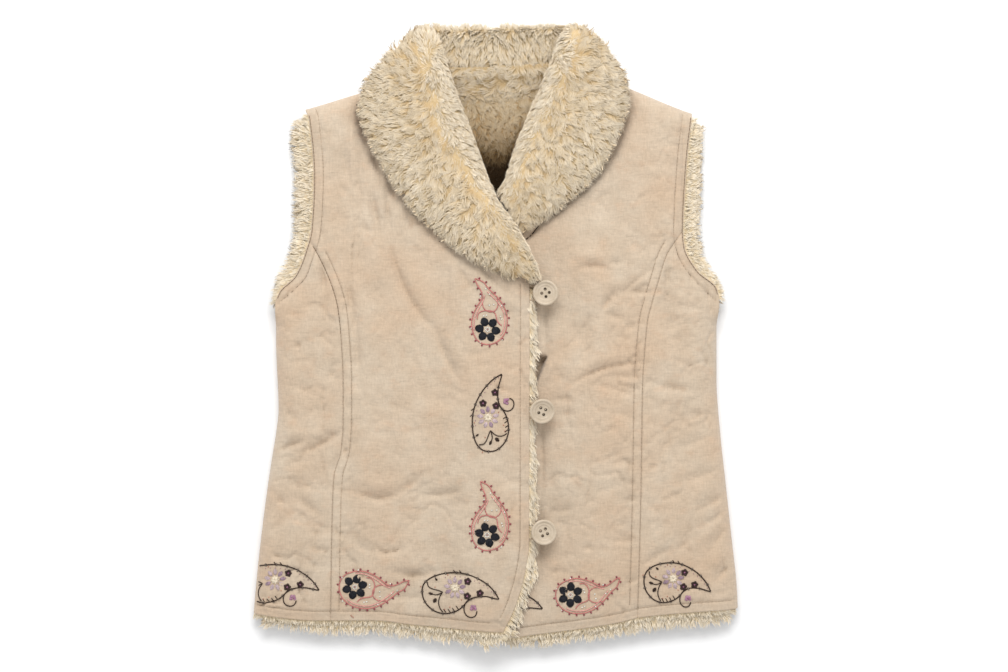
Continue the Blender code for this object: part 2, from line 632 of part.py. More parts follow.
def build_left_front(cloth, pile):
    folds = {name: np.append(LEFT_FOLDS[name], LEFT_SIDE_FOLDS[name]) for name in LEFT_FOLDS}
    gap = PRINCESS_GAP / 2
    armhole = above(LEFT_SIDE, 107)
    east = x_at({"y": LEFT_PRINCESS["y"], "x": LEFT_PRINCESS["x"] - gap}, armhole)
    x, y = plan(left_front_edge, east, left_hem, shoulder, FRONT_ACROSS, FRONT_UP)
    cloth_wall("left_front_centre", x, y, front_face(left_form, folds, princess_left, x, y), cloth)
    x, y = plan(shifted(princess_left, gap), side_left, left_hem, level(101), 1 - SIDE_ACROSS[::-1], SIDE_UP)
    cloth_wall("left_front_side", x, y, front_face(left_form, folds, princess_left, x, y), cloth)
    neck = neck_seam(LEFT_COLLAR, 100)
    inset_west = x_at(shift_table(LAP_EDGE, 1), shift_table(neck, 3))
    rim_west = x_at(shift_table(LAP_EDGE, -2), shift_table(neck, 1.5))
    inset_east = x_at(
        table("y x", (-275, 235), (-196, 228), (-94, 217), (-43, 213.5), (20, 214)),
        above({"y": LEFT_SIDE["y"], "x": LEFT_SIDE["x"] - 1}, 36),
    )
    rim_east = x_at(table("y x", (-275, 238), (-196, 231), (-94, 220), (-43, 216.5),
    (20, 217)), LEFT_ARM_PILE)
    across = np.linspace(0, 1, 10)
    core = plan(inset_west, inset_east, shifted(left_hem, 1), shifted(shoulder, -11), across, LINING_UP)
    rim = plan(rim_west, rim_east, y_at(LEFT_HEM_PILE), shifted(shoulder, -9), across, LINING_UP)
    pile_slab(
        "left_front_lining",
        core,
        rim,
        lambda x, y: level(PILE_MID + SEAM_GAP)(x),
        lambda x, y: left_form(x, y)[0] - CLOTH - SLACK,
        2.6,
        pile,
    )


def build_collar(pile):
    collar_leaf("collar_right", RIGHT_COLLAR, lap_lift, 25, pile)
    collar_leaf("collar_left", LEFT_COLLAR, lambda x, y: np.zeros_like(x), 19, pile)
    collar_back(17, pile)


def turned(name, profile, sides, finish):
    """A solid turned about its own Z axis from a profile that runs from axis to axis."""
    rows = list(zip(profile["r"], profile["z"]))
    points = [(0, 0, rows[0][1])]
    for radius, height in rows[1:-1]:
        for k in range(sides):
            angle = 2 * math.pi * k / sides
            points.append((radius * math.cos(angle), radius * math.sin(angle), height))
    points.append((0, 0, rows[-1][1]))
    last = len(points) - 1
    faces = []
    for k in range(sides):
        following = (k + 1) % sides
        faces.append((0, 1 + following, 1 + k))
        for ring in range(len(rows) - 3):
            a, b = 1 + ring * sides, 1 + (ring + 1) * sides
            faces.append((a + k, a + following, b + following, b + k))
        final = 1 + (len(rows) - 3) * sides
        faces.append((final + k, final + following, last))
    return new_mesh(name, points, faces, finish)


def hole_cutter(name, finish):
    """Four upright pegs, for the holes of a button."""
    points, faces = [], []
    sides = 10
    for k in range(4):
        middle = math.pi / 2 * k
        x, y = BUTTON_HOLE_RING * math.cos(middle), BUTTON_HOLE_RING * math.sin(middle)
        first = len(points)
        for z in (-3, 9):
            for i in range(sides):
                angle = 2 * math.pi * i / sides
                points.append((x + BUTTON_HOLE * math.cos(angle), y + BUTTON_HOLE * math.sin(angle), z))
        for i in range(sides):
            j = (i + 1) % sides
            faces.append((first + i, first + j, first + sides + j, first + sides + i))
        faces.append(tuple(first + i for i in reversed(range(sides))))
        faces.append(tuple(first + sides + i for i in range(sides)))
    made = new_mesh(name, points, faces, finish)
    made.hide_render = True
    made.display_type = "WIRE"
    return made


def build_buttons(finish, thread):
    for name, x, y, base, turn, tilt_x, tilt_y in zip(BUTTON_NAMES, *BUTTON_PLACES.values()):
        button = turned("button_" + name, BUTTON, BUTTON_SIDES, finish)
        cutter = hole_cutter("button_holes_" + name, finish)
        for item in (button, cutter):
            item.location = Vector((x, y, base)) * MM
            item.rotation_euler = Euler([math.radians(v) for v in (tilt_x, tilt_y, turn)])
        holes = button.modifiers.new("holes", "BOOLEAN")
        holes.operation = "DIFFERENCE"
        holes.solver = "EXACT"
        holes.object = cutter
        foot = float(left_form(np.array(x), np.array(y))[0]) + 0.5
        height = base - SHANK_GAP - foot
        post = table("r z", (0, 0), (SHANK, 0), (0.8 * SHANK, 0.5 * height), (SHANK, height), (0, height))
        shank = turned("button_shank_" + name, post, 12, thread)
        shank.location = Vector((x, y, foot)) * MM
        build_loop("button_loop_" + name, y, thread)


def build_loop(name, y, thread):
    """A loop of cord from the right front's edge seam, round the button's shank and back."""
    start = float(right_front_edge(np.array(y))) + 0.6
    path = bpy.data.curves.new(name, "CURVE")
    path.dimensions = "3D"
    path.bevel_depth = LOOP_CORD * MM
    path.bevel_resolution = 2
    path.use_fill_caps = True
    line = path.splines.new("POLY")
    line.points.add(LOOP_POINTS - 1)
    for point, angle in zip(line.points, np.linspace(-math.pi / 2, math.pi / 2, LOOP_POINTS)):
        along = start + LOOP_LONG * math.cos(angle)
        point.co = (along * MM, (y + LOOP_HALF * math.sin(angle)) * MM, LOOP_LEVEL * MM, 1)
    path.materials.append(thread)
    bpy.context.scene.collection.objects.link(bpy.data.objects.new(name, path))


def main():
    for leftover in list(bpy.data.objects):
        bpy.data.objects.remove(leftover)
    cloth = material("brushed_cloth", CLOTH_COLOUR, 0.9)
    pile = material("pile", PILE_COLOUR, 0.95)
    button = material("button", BUTTON_COLOUR, 0.5)
    thread = material("thread", THREAD_COLOUR, 0.8)
    build_back(cloth, pile)
    build_right_front(cloth, pile)
    build_left_front(cloth, pile)
    build_collar(pile)
    build_buttons(button, thread)


main()
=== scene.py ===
"""The looks of an embroidered waistcoat: brushed cloth, a pile lining, a shawl collar of pile, and paisleys.

Tables and functions are in millimetres, with +Y towards the collar and +X towards the wearer's left, and
new_mesh turns them into metres. The right front laps over the left one. The outlines and the form are those
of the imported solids.
"""

import math

import bmesh
import bpy
import numpy as np
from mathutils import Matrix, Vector
from mathutils.bvhtree import BVHTree
from mathutils.kdtree import KDTree


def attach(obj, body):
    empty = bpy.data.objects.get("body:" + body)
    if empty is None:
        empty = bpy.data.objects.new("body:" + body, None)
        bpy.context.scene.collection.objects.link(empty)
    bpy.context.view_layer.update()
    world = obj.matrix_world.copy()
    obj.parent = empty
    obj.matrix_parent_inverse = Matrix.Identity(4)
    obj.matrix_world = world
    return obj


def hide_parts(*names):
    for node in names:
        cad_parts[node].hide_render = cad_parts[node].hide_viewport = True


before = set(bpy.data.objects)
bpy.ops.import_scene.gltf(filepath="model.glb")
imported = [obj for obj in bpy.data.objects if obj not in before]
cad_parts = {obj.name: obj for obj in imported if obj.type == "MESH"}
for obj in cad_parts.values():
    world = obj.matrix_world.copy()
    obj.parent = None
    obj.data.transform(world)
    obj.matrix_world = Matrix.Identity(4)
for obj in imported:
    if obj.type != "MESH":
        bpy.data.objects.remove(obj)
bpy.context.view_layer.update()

MM = 0.001


def table(columns, *rows):
    """A short table as {column name: values}, with a row for each section, point or fold."""
    return dict(zip(columns.split(), np.array(rows, float).T))


# ---------------------------------------------------------------- sizes and outlines

TOP, PUFF = 22.5, 4.0  # height of the fronts over the floor, and how much higher they are where they are full
DEEPEST, HIGHEST = 5.6, 9.0  # limits of the folds, down and up
SEAM_LEVEL, BACK_CURL = 8.7, 5.3  # height of the side seams, on the fronts and on the back
SIDE_ROLL, SHOULDER_ROLL, BACK_ROLL = 22.0, 18.0, 9.0  # width of the round edge at each seam
LAP, LAP_CLIMB = 12.8, 58.0  # how far the right front is lifted where it laps, and over how wide a strip
UNDERARM = (8.0, 26.0)  # y between which the side seam opens into the armhole
PRINCESS_GAP = 0.5

RIGHT_SIDE = table(
    "y x", (-277, -241.5), (-243, -238.5), (-185, -232), (-124, -223.5), (-93, -218.5), (-73, -216.5),
    (-3, -219), (32, -219), (45, -215), (61, -199), (86, -188.5), (108, -183), (159, -180.5), (219, -185.6),
    (229, -190),
)
LEFT_SIDE = table(
    "y x", (-275, 244), (-253, 243), (-196, 237), (-145, 231.5), (-94, 226), (-43, 222.5), (12, 222.5),
    (35, 224.5), (49, 222), (66, 203), (90, 190), (106, 188.5), (122, 189), (174, 192), (226, 198),
)
RIGHT_PRINCESS = table(
    "y x", (-283, -164), (-163, -161.5), (-138, -160), (-113, -153), (-83, -151), (-43, -151), (-3, -153),
    (27, -156), (47, -161), (67, -169), (85, -178), (97, -185.5),
)
LEFT_PRINCESS = table(
    "y x", (-280, 143), (-163, 146), (-43, 148), (-13, 150), (17, 153), (37, 158), (57, 164), (82, 172),
    (100, 184), (106, 188.5),
)
FRONT_EDGE = table("y x", (-294, 8), (-278, 16), (-263, 22), (-243, 28), (-223, 32), (-203, 34), (50, 34.4))
LAP_EDGE = table("y x", (-298, 5), (80, 4), (95, 6))
RIGHT_NECK = table(
    "y x", (63, 32), (77, 17), (97, 7), (117, -7), (138, -20), (171, -32), (201, -43), (231, -54), (259, -64),
)
LEFT_NECK = table("y x", (127, 14), (149, 28), (176, 37), (204, 49), (234, 62), (259, 72))
RIGHT_HEM = table("x y", (-242, -277), (-179, -283), (-120, -283), (-84, -287), (-36, -291), (9, -294))
LEFT_HEM = table("x y", (5, -302), (50, -296), (82, -292), (125, -285), (146, -280), (184, -276), (244, -272))
BACK_HEM = table("x y", (-242, -274), (-120, -279), (0, -283), (120, -279), (244, -270))
SHOULDERS = table("x y", (-190, 228), (-79, 256), (0, 259), (79, 262), (198, 224))

# Folds: from one end to the other, bowed to the left of that line, with the width and height of the crease
# (below 0) or ridge (above 0). Each list goes from the collar down to the hem.
RIGHT_FOLDS = table(
    "x0 y0 x1 y1 bow width height", (-125, 139, -118, 113, -0.5, 3.5, -2.4),
    (-131, 190, -133, 150, 1, 7, -1.2), (-112, 168, -108, 128, 1, 8, 1.0), (-105, 98, -62, 8, -8, 4.2, -4.2),
    (-93, 88, -54, 16, -7, 9, 1.6), (-60, 10, -34.8, -44.8, -1.5, 3.5, -2.6), (-50, 8, -26, -38, -2, 8, 1.5),
    (-41.5, 77, -15, 39, -1, 3, -2.2), (-15, 71, 23.4, 36, -1.5, 4.2, -3.0), (-8, 56, 22, 30, -1, 7, 1.2),
    (-147, 62, -138, 8, -2, 4.4, -3.8), (-139.2, 17, -136.3, -42, 1, 3.8, -2.6),
    (-129, 24, -126, -32, 0, 8, 1.2), (-118, 70, -106, 6, -3, 7, -1.3), (-84, 20, -66, -30, -3, 7, -1.2),
    (-151.7, -116.3, -145.8, -112.2, 0, 2.6, -2.6), (-131, -84, -144, -108, -3, 7, 1.4),
    (-85, -92, -72, -96, -1, 3, -1.4), (-112, -60, -88, -74, -3, 5, -1.2), (-84, -60, -30, -78, -5, 10, 1.0),
    (-142, -153, -92, -155.5, -7.5, 4.4, -3.2), (-95, -156, -73.5, -137, -1.6, 3, -2.2),
    (-136, -142, -92, -141, -6, 9, 1.8), (-76, -158, -31, -152, -3.5, 4.4, -2.6),
    (-72, -146, -34, -142, -3, 8, 1.2), (-50, -168, -20, -166, -1, 4, -1.4),
    (-147, -197.7, -117.5, -215.4, -3, 4.5, -2.0), (-117.5, -215.4, -88, -211, -1.5, 3.5, -2.0),
    (-103, -235, -58, -235.5, -4, 4.2, -3.0), (-56, -235.5, -14, -240, 1, 3.6, -2.0),
    (-104, -224, -52, -224, -4, 9, 1.6), (-60, -200, -10, -188, 6, 10, 1.0),
    (-30, -216, 18, -205, 5, 5, -1.4), (-10, -130, 24, -150, 2, 6, -1.2), (-110, -262, -60, -266, 3, 4, -1.6),
    (-20, -262, 6, -258, 2, 4, -1.6), (-70, 60, -30, 24, 6, 12, 0.9), (4, -50, 26, -62, 1, 3, -1.4),
    (2, -150, 28, -143, 1, 3, -1.4), (-96, -14, -70, -40, 3, 6, -1.0), (-173, 76, -171, 42, 1, 4, -3.4),
    (-168, 44, -169.5, 6, 0, 5, -2.2), (-183, 50, -186, 0, 1, 8, 1.0), (-176, 2, -161, -9.5, 0, 3.5, -2.0),
    (-199.5, -12, -192.5, -6.5, 0, 3, -2.6), (-167.5, -42, -157, -33, 0, 3, -1.8),
    (-206, -50, -178, -60, 2, 5, -1.3), (-219.5, -116.3, -190, -104.3, 0.8, 3.2, -3.4),
    (-190.8, -117.2, -152.5, -95, -0.5, 3.2, -3.4), (-214, -103, -188, -92, 1, 7, 1.4),
    (-186, -101, -158, -84, -1, 7, 1.4), (-212, -130, -180, -120, -1, 8, -1.4),
    (-160.8, -136.3, -155, -114.7, 0, 2.6, -3.0), (-218, -164, -208, -166.8, 0, 3, -2.0),
    (-198.3, -161.8, -172, -180.5, 1, 3.5, -2.4), (-196.6, -177, -150, -197.7, -2, 5, -2.0),
    (-184.5, -195.5, -168, -196.8, 0, 3, -2.2), (-182, -211.8, -164.5, -214.9, 0, 3, -2.4),
    (-223, -221.8, -209.5, -220, 0, 3, -2.0), (-226, -196, -206, -180, 0, 5, -1.6),
    (-205, -150, -176, -154, 2, 4, -1.4), (-230, -240, -206, -236, 1, 5, -1.2),
    (-192, -226, -170, -232, 1, 4, -1.2), (-214, -76, -196, -84, 1, 4, -1.6),
    (-210, 20, -200, -50, 3, 8, 1.0),
)
LEFT_FOLDS = table(
    "x0 y0 x1 y1 bow width height", (96, 130, 116, 145, 1, 3, -1.6), (81.8, 66.4, 114, 67, 3.5, 3, -2.8),
    (80, 76, 114, 78, 3, 7, 1.4), (114, 73, 129, 74, 0, 3, -1.8), (129, 44.5, 156, 66, 1, 3, -2.4),
    (129, 44.5, 160.5, 44.5, 0, 3, -2.8), (145, 49.5, 155, 51, 0, 2.5, -1.6), (134, 53, 154, 57, 0, 5, 1.2),
    (108, 27, 118, 42, 0, 3.6, -3.0), (116, 44, 124, 37, 0, 3, -1.6), (89, -13, 96.8, 24.5, 1, 7, -2.4),
    (103, -8, 108, 18, 0, 7, 1.2), (108, 23, 130.5, 14.5, 1, 3.2, -2.0), (130.5, 7, 142, 12, 0, 3, -1.8),
    (122, 0, 138, -4, 0, 3, -1.4), (89, -18, 97, -9, 0, 4, -2.0), (72.7, -50.8, 143.3, -26.3, 5.5, 2.6, -2.8),
    (80, -40, 138, -18, 6, 8, 0.9), (115.5, -39.7, 147.7, -41.3, 0, 3, -1.8),
    (97.7, -47.4, 143.3, -59.7, 1, 4.5, -2.4), (57, -63.6, 78, -63.6, 0, 3, -2.2),
    (64, -78, 82, -76, 0, 3, -1.4), (116, -127, 139, -127, 0, 3.2, -2.0), (126, -148, 142, -146, 0, 3, -1.6),
    (128, -164, 144, -162, 0, 3, -2.0), (100, -158, 128, -150, 2, 5, -1.4),
    (49.8, -158, 65.8, -134, 1, 6, -1.8), (116, -203, 142, -202, -2, 3.4, -2.2),
    (120, -190, 134, -186, 0, 3, -1.4), (88, -212, 98, -212, 0, 3, -2.4), (60, -222, 84, -218, 1, 4, -1.4),
    (130, -247.5, 144.5, -242, 0, 3, -2.4), (60, 92, 110, 118, 5, 9, 1.0), (96, 150, 128, 110, -4, 8, -1.0),
    (140, 160, 148, 100, 2, 9, 0.9), (52, -176, 82, -170, -2, 5, -1.8), (54, -184, 80, -190, 1, 5, -1.6),
    (60, -160, 100, -132, 2, 12, 1.2), (50, -236, 84, -240, 3, 5, -1.4), (72, 20, 84, -14, 2, 8, -1.3),
    (58, 30, 72, 26, 0, 4, -1.4), (130, 96, 150, 84, 1, 5, -1.2), (120, -76, 142, -84, 1, 5, -1.3),
    (173, 87, 177, -2, -2, 5, -2.8), (186, 60, 190, 8, 0, 8, 1.0), (178, -0.5, 188, -4, 0, 3.2, -2.0),
    (161, 44.5, 167, 45, 0, 2.6, -1.8), (148, -41.5, 165.5, -49.7, 0, 3.5, -2.0),
    (165.5, -49.7, 193.3, -55.2, 0.5, 3, -3.2), (160, -58, 188, -66, 0, 6, 1.2),
    (200, 20, 206, -36, -3, 8, 1.0), (204, -8, 214, -34, 1, 4, -1.6), (190, -86, 214, -76, 1, 4, -1.4),
    (180, -112, 216, -98, -2, 4.5, -1.6), (152, -130, 162, -130, 0, 2.6, -2.2),
    (186, -146, 226, -130, -2, 4, -1.8), (198.6, -175, 231, -157, -2, 3.5, -2.2),
    (205, -190, 235, -170, -2, 3.5, -2.2), (166, -192, 176, -182, 0, 3.5, -1.8),
    (218.5, -211, 232, -192, 1, 3.2, -2.2), (208, -204, 220, -190, 0, 4, 1.4),
    (180, -216, 196, -203, 0, 3, -1.8), (151.5, -227.6, 177, -211, 1, 3.4, -2.2),
    (222, -241, 237, -228, -1, 4, -3.0), (214, -232, 230, -214, 0, 6, 1.6),
    (186, -254, 204, -250, 1, 4, -1.4), (196, -160, 224, -146, 0, 7, 1.0),
)
# Folds that the collar and the lap press in: these keep their depth up to the pile and the edge.
COLLAR_FOLDS = table(
    "x0 y0 x1 y1 bow width height", (-138, 232, -128, 188, 0, 5.5, -4.0), (-124, 186, -114, 160, 0, 5, -3.6),
    (-108, 162, -99, 134, 0, 5, -3.4), (-146, 210, -142, 176, 1, 7, 1.8), (-120, 205, -119, 178, 0, 6, 1.6),
    (-124, 150, -114, 92, 1, 4.5, -3.2), (-90, 128, -80, 104, 0, 5, -2.2),
    (-129.5, 214, -114, 172, 0, 9, -3.0), (-108, 150, -104.5, 98, 0, 4, -3.0),
    (-152, 196, -148, 150, 1, 6, -2.2), (-138, 168, -134, 120, 1, 6, -2.0), (-112, 176, -106, 150, 0, 5, 1.6),
)
LAP_FOLDS = table(
    "x0 y0 x1 y1 bow width height", (30, 95, 46, 112, 0, 2.2, -3.0), (50, 34, 50, -14, 0, 5, -2.2),
    (49.5, -45, 60, -21, 0, 3.6, 2.4), (60, -46, 74, 0, -2, 8, 1.6), (58, -18, 64, 10, 1, 6, 1.6),
    (46.5, -84, 48.5, -160, 0, 4.5, -2.8), (46, -150, 46, -236, 0, 4.5, -2.0),
    (137, 238, 108, 160, 3, 7, -1.4), (106, 157, 74, 112, 3, 6, -1.2),
)
# The gap between two buttons, where the left front drops away behind its pulled edge.
GAP_EDGE = ((52.6, -19.5), (42.6, -43.5))
GAP_TOP, GAP_END = -19.5, -62
GAP_DROP = 13.2

# ---------------------------------------------------------------- form of the garment


def smoothstep(share):
    share = np.clip(share, 0, 1)
    return share * share * (3 - 2 * share)


def quarter(share):
    """A quarter of an ellipse: 0 and upright at 0, and 1 and level from 1 on."""
    return np.sqrt(1 - (1 - np.clip(share, 0, 1)) ** 2)


def dip(distance, width):
    return np.exp(-((distance / width) ** 2))


def unit(vectors):
    return vectors / np.maximum(np.linalg.norm(vectors, axis=-1, keepdims=True), 1e-12)


def heading(turn):
    """The unit vector that points a way in degrees, from +X turning to +Y."""
    return np.array([math.cos(math.radians(turn)), math.sin(math.radians(turn))])


def curve(knots, values, at):
    """A smooth line through a table's points, without overshoot and level past its ends."""
    step = np.diff(knots)
    rise = np.diff(values) / step
    slope = np.concatenate([rise[:1], np.zeros(len(step) - 1), rise[-1:]])
    same = np.flatnonzero(rise[:-1] * rise[1:] > 0)
    slope[same + 1] = 2 * rise[same] * rise[same + 1] / (rise[same] + rise[same + 1])
    at = np.clip(at, knots[0], knots[-1])
    i = np.clip(np.searchsorted(knots, at, side="right") - 1, 0, len(step) - 1)
    t = (at - knots[i]) / step[i]
    ends = values[i] * (1 + 2 * t) * (1 - t) ** 2 + values[i + 1] * t * t * (3 - 2 * t)
    return ends + step[i] * t * (1 - t) * (slope[i] * (1 - t) - slope[i + 1] * t)


def joined(*tables):
    """Tables with the same columns, one after the other."""
    return {name: np.concatenate([t[name] for t in tables]) for name in tables[0]}


def x_at(*tables):
    """x as a function of y, from tables that follow on from each other."""
    bound = joined(*tables)
    return lambda y: curve(bound["y"], bound["x"], y)


def y_at(bound):
    return lambda x: curve(bound["x"], bound["y"], x)


def above(bound, low):
    """The rows of a table whose y is over a limit."""
    return {name: values[bound["y"] > low] for name, values in bound.items()}


def shifted(function, by):
    return lambda value: function(value) + by


def level(height):
    return lambda value: np.full_like(value, height)


NOISE_SIZE = 64
NOISE_START = 1000.5


def lattice_noise(x, y, cell, seed):
    """Smooth noise from -1 to 1 with one random value for each cell."""
    values = np.random.default_rng(seed).uniform(-1, 1, (NOISE_SIZE, NOISE_SIZE))
    u, v = x / cell + NOISE_START, y / cell + NOISE_START
    i, j = np.floor(u).astype(int), np.floor(v).astype(int)
    s, t = smoothstep(u - i), smoothstep(v - j)
    (i, i2), (j, j2) = ((k % NOISE_SIZE, (k + 1) % NOISE_SIZE) for k in (i, j))
    low, high = (values[i, k] * (1 - s) + values[i2, k] * s for k in (j, j2))
    return low * (1 - t) + high * t


CREASE_GAIN, RIDGE_GAIN = 1.75, 1.35


def fold_height(folds, x, y):
    """The sum of a fold table: round ridges, and sharp creases that reach wider on their upper side."""
    total = np.zeros_like(x)
    for x0, y0, x1, y1, bow, width, height in zip(*folds.values()):
        long = math.hypot(x1 - x0, y1 - y0)
        along = ((x - x0) * (x1 - x0) + (y - y0) * (y1 - y0)) / long
        share = np.clip(along / long, 0, 1)
        off = ((y - y0) * (x1 - x0) - (x - x0) * (y1 - y0)) / long - 4 * bow * share * (1 - share)
        past = np.maximum(np.maximum(-along, along - long), 0)
        taper = smoothstep(0.3 + 1.6 * np.minimum(share, 1 - share)) * dip(past, 1.4 * width)
        lean = 0.6 * (x1 - x0) / long * np.sign(off)
        sharp = np.exp(-(np.hypot(off, 0.4) - 0.4) / (0.8 * width * (1 + lean)))
        total += taper * height * (CREASE_GAIN * sharp if height < 0 else RIDGE_GAIN * dip(off, width))
    return total


side_right, side_left = x_at(RIGHT_SIDE), x_at(LEFT_SIDE)
shoulder, back_hem, right_hem, left_hem = map(y_at, (SHOULDERS, BACK_HEM, RIGHT_HEM, LEFT_HEM))
princess_right, princess_left = x_at(RIGHT_PRINCESS), x_at(LEFT_PRINCESS)
right_front_edge, left_front_edge = x_at(FRONT_EDGE, RIGHT_NECK), x_at(LAP_EDGE, LEFT_NECK)
lap_line = x_at(table("y x", (-298, 5), (80, 4), (111, 14), (141, 26), (190, 60)))
right_leaf_line = x_at(
    table("y x", (10, 160), (48, 60), (69, -8), (104, -57), (159, -104), (224, -134), (260, -134))
)
left_leaf_line = x_at(
    table("y x", (60, -90), (100, 20), (125, 56), (165, 103), (201, 122), (236, 133), (262, 133))
)


# How a front is brought down at its edges: by what share of its height, and over how wide a strip.
ARMHOLE_DROP, ARMHOLE_TURN = 0.17, 13
HEM_DROP, HEM_TURN = 0.14, 14
EDGE_DROP, EDGE_TURN = 0.09, 9
NO_EDGE = 60  # a distance from the front edge at which it brings nothing down
PUFF_IN, PUFF_UP = 75, 80  # how far from its side seam and its hem a front is full
SEAM_FREE, SHOULDER_FREE, LEAF_FREE = 12, 20, 32  # how far from these, and a wing, the cloth is free to fold


def opening_share(y):
    """0 where the side is a closed seam, and 1 where it is an armhole."""
    return smoothstep((y - UNDERARM[0]) / (UNDERARM[1] - UNDERARM[0]))


def front_form(x, y, inside, to_hem, to_edge, free, centre, lift=0.0):
    """Outer face of a front without its folds, and how free it is to fold there.

    inside, to_hem and to_edge are distances from its side seam, hem and front edge. centre is how full it is
    towards the middle of the garment."""
    to_shoulder = shoulder(x) - y
    height = TOP + PUFF * free * smoothstep(inside / PUFF_IN) * smoothstep(to_hem / PUFF_UP) * centre + lift
    seam = quarter(inside / SIDE_ROLL)
    armhole = 1 - ARMHOLE_DROP * (1 - smoothstep(inside / ARMHOLE_TURN))
    share = seam + (armhole - seam) * opening_share(y)
    share = share * quarter(to_shoulder / SHOULDER_ROLL)
    share = share * (1 - HEM_DROP * (1 - smoothstep(to_hem / HEM_TURN)))
    share = share * (1 - EDGE_DROP * (1 - smoothstep(to_edge / EDGE_TURN)))
    for away, reach in ((inside, SEAM_FREE), (to_hem, SEAM_FREE), (to_shoulder, SHOULDER_FREE)):
        free = free * smoothstep(away / reach)
    return SEAM_LEVEL + (height - SEAM_LEVEL) * share, free


def right_form(x, y):
    """The right front, which the left front under it lifts."""
    to_edge = right_front_edge(y) - x + NO_EDGE * smoothstep((y - 66) / 12)
    lift = LAP * smoothstep((x - lap_line(y) + LAP_CLIMB + 12) / LAP_CLIMB)
    free = smoothstep((right_leaf_line(y) - x) / LEAF_FREE)
    centre = smoothstep((40 - x) / 80)
    return front_form(x, y, x - side_right(y), y - right_hem(x), to_edge, free, centre, lift)


def left_form(x, y):
    free = smoothstep((x - left_leaf_line(y)) / LEAF_FREE) * smoothstep((x - 47) / 12)
    centre = smoothstep((x - 45) / 60)
    return front_form(x, y, side_left(y) - x, y - left_hem(x), NO_EDGE, free, centre)


def back_face(x, y):
    """Outer face of the back, which lies on the surface and rises at the side and shoulder seams."""
    inside = np.minimum(x - side_right(y), side_left(y) - x)
    closed = (1 - opening_share(y)) * (1 - quarter(inside / BACK_ROLL))
    top = smoothstep((np.abs(x) - 78) / 12) * (1 - quarter((shoulder(x) - y) / BACK_ROLL))
    return BACK_CURL * np.maximum(closed, top)


# ---------------------------------------------------------------- stitch lines


def sideways(path):
    """At each point of a path, the unit vector to its left."""
    run = unit(np.gradient(path, axis=0))
    return np.stack([-run[:, 1], run[:, 0]], axis=1)


def offset_path(points, by):
    """A path moved sideways, to its left where by is over 0."""
    return points + by * sideways(points)


PATH_STEP = 4.0


def path_of_x(function, low, high):
    y = np.arange(low, high + 0.01, PATH_STEP)
    return np.stack([function(y), y], axis=1)


def path_of_y(function, low, high):
    return path_of_x(function, low, high)[:, ::-1]


def smooth_path(points, step):
    """Points evenly along a smooth line through the given ones."""
    given = np.array(points, float)
    given = np.concatenate([given[:1] * 2 - given[1:2], given, given[-1:] * 2 - given[-2:-1]])
    dense = []
    for a, b, c, d in zip(given, given[1:], given[2:], given[3:]):
        t = np.linspace(0, 1, 24, endpoint=False)[:, None]
        bend = (2 * a - 5 * b + 4 * c - d) * t**2 + (3 * b - a - 3 * c + d) * t**3
        dense.append(0.5 * (2 * b + (c - a) * t + bend))
    dense = np.concatenate([*dense, given[-2:-1]])
    run = lengths_along(dense)
    at = np.linspace(0, run[-1], max(2, int(round(run[-1] / step)) + 1))
    return np.stack([np.interp(at, run, dense[:, k]) for k in range(2)], axis=1)


def lengths_along(path):
    return np.concatenate([[0], np.cumsum(np.linalg.norm(np.diff(path, axis=0), axis=1))])


# How far the topstitching runs from each edge or seam.
HEM_STITCH, EDGE_STITCH, ARM_STITCH, PRINCESS_STITCH = 9.0, 8.6, 9.5, 8.4

RIGHT_UNDERARM, LEFT_UNDERARM = (
    smooth_path(points, 2.0) for points in (
        ((-179, 87), (-183.5, 73), (-188.5, 60), (-197.5, 50), (-207.5, 41), (-217, 33.5)),
        ((180.5, 92), (184.5, 79), (190.8, 68.5), (198, 59), (207, 50), (221, 36.5)),
    )
)

RIGHT_STITCHES = (
    path_of_y(shifted(right_hem, HEM_STITCH), -238, 0),
    offset_path(path_of_x(right_front_edge, -283, 56), EDGE_STITCH),
    offset_path(path_of_x(side_right, 89, 228), -ARM_STITCH)[::-1],
    RIGHT_UNDERARM,
    offset_path(path_of_x(princess_right, -273, 84), -PRINCESS_STITCH),
)
LEFT_STITCHES = (
    path_of_y(shifted(left_hem, HEM_STITCH), 16, 241),
    offset_path(path_of_x(side_left, 95, 224), ARM_STITCH)[::-1],
    LEFT_UNDERARM,
    offset_path(path_of_x(princess_left, -268, 92), PRINCESS_STITCH),
)


def nearest_on(path, x, y):
    """Distance from each point to a path, and how far along the path that is."""
    flat = np.stack([x.ravel(), y.ravel()], axis=1)
    length = lengths_along(path)
    best, along = np.full(len(flat), 1e9), np.zeros(len(flat))
    for k, (a, b) in enumerate(zip(path, path[1:])):
        run = b - a
        t = np.clip(((flat - a) @ run) / (run @ run), 0, 1)
        away = np.hypot(*(flat - a - t[:, None] * run).T)
        nearer = away < best
        best[nearer] = away[nearer]
        along[nearer] = (length[k] + t * (length[k + 1] - length[k]))[nearer]
    return best.reshape(x.shape), along.reshape(x.shape)


GROOVE, UNDERARM_GROOVE, GROOVE_WIDTH = 1.5, 2.8, 1.1
PUCKER, PUCKER_LONG, PUCKER_WIDTH = 0.8, 5.2, 7.0


def stitch_relief(paths, x, y):
    """The grooves of the topstitching, and the small puckers that the thread draws up beside it."""
    total = np.zeros_like(x)
    for k, path in enumerate(paths):
        away, along = nearest_on(path, x, y)
        drawn = lattice_noise(along, np.full_like(along, 7.0 * k), PUCKER_LONG, 40 + k)
        strong = 0.6 + 0.4 * lattice_noise(along, np.full_like(along, 3.0 * k), 55, 50 + k)
        groove = UNDERARM_GROOVE if path is RIGHT_UNDERARM or path is LEFT_UNDERARM else GROOVE
        total += PUCKER * drawn * strong * dip(away, PUCKER_WIDTH) - groove * np.exp(-away / GROOVE_WIDTH)
    return total


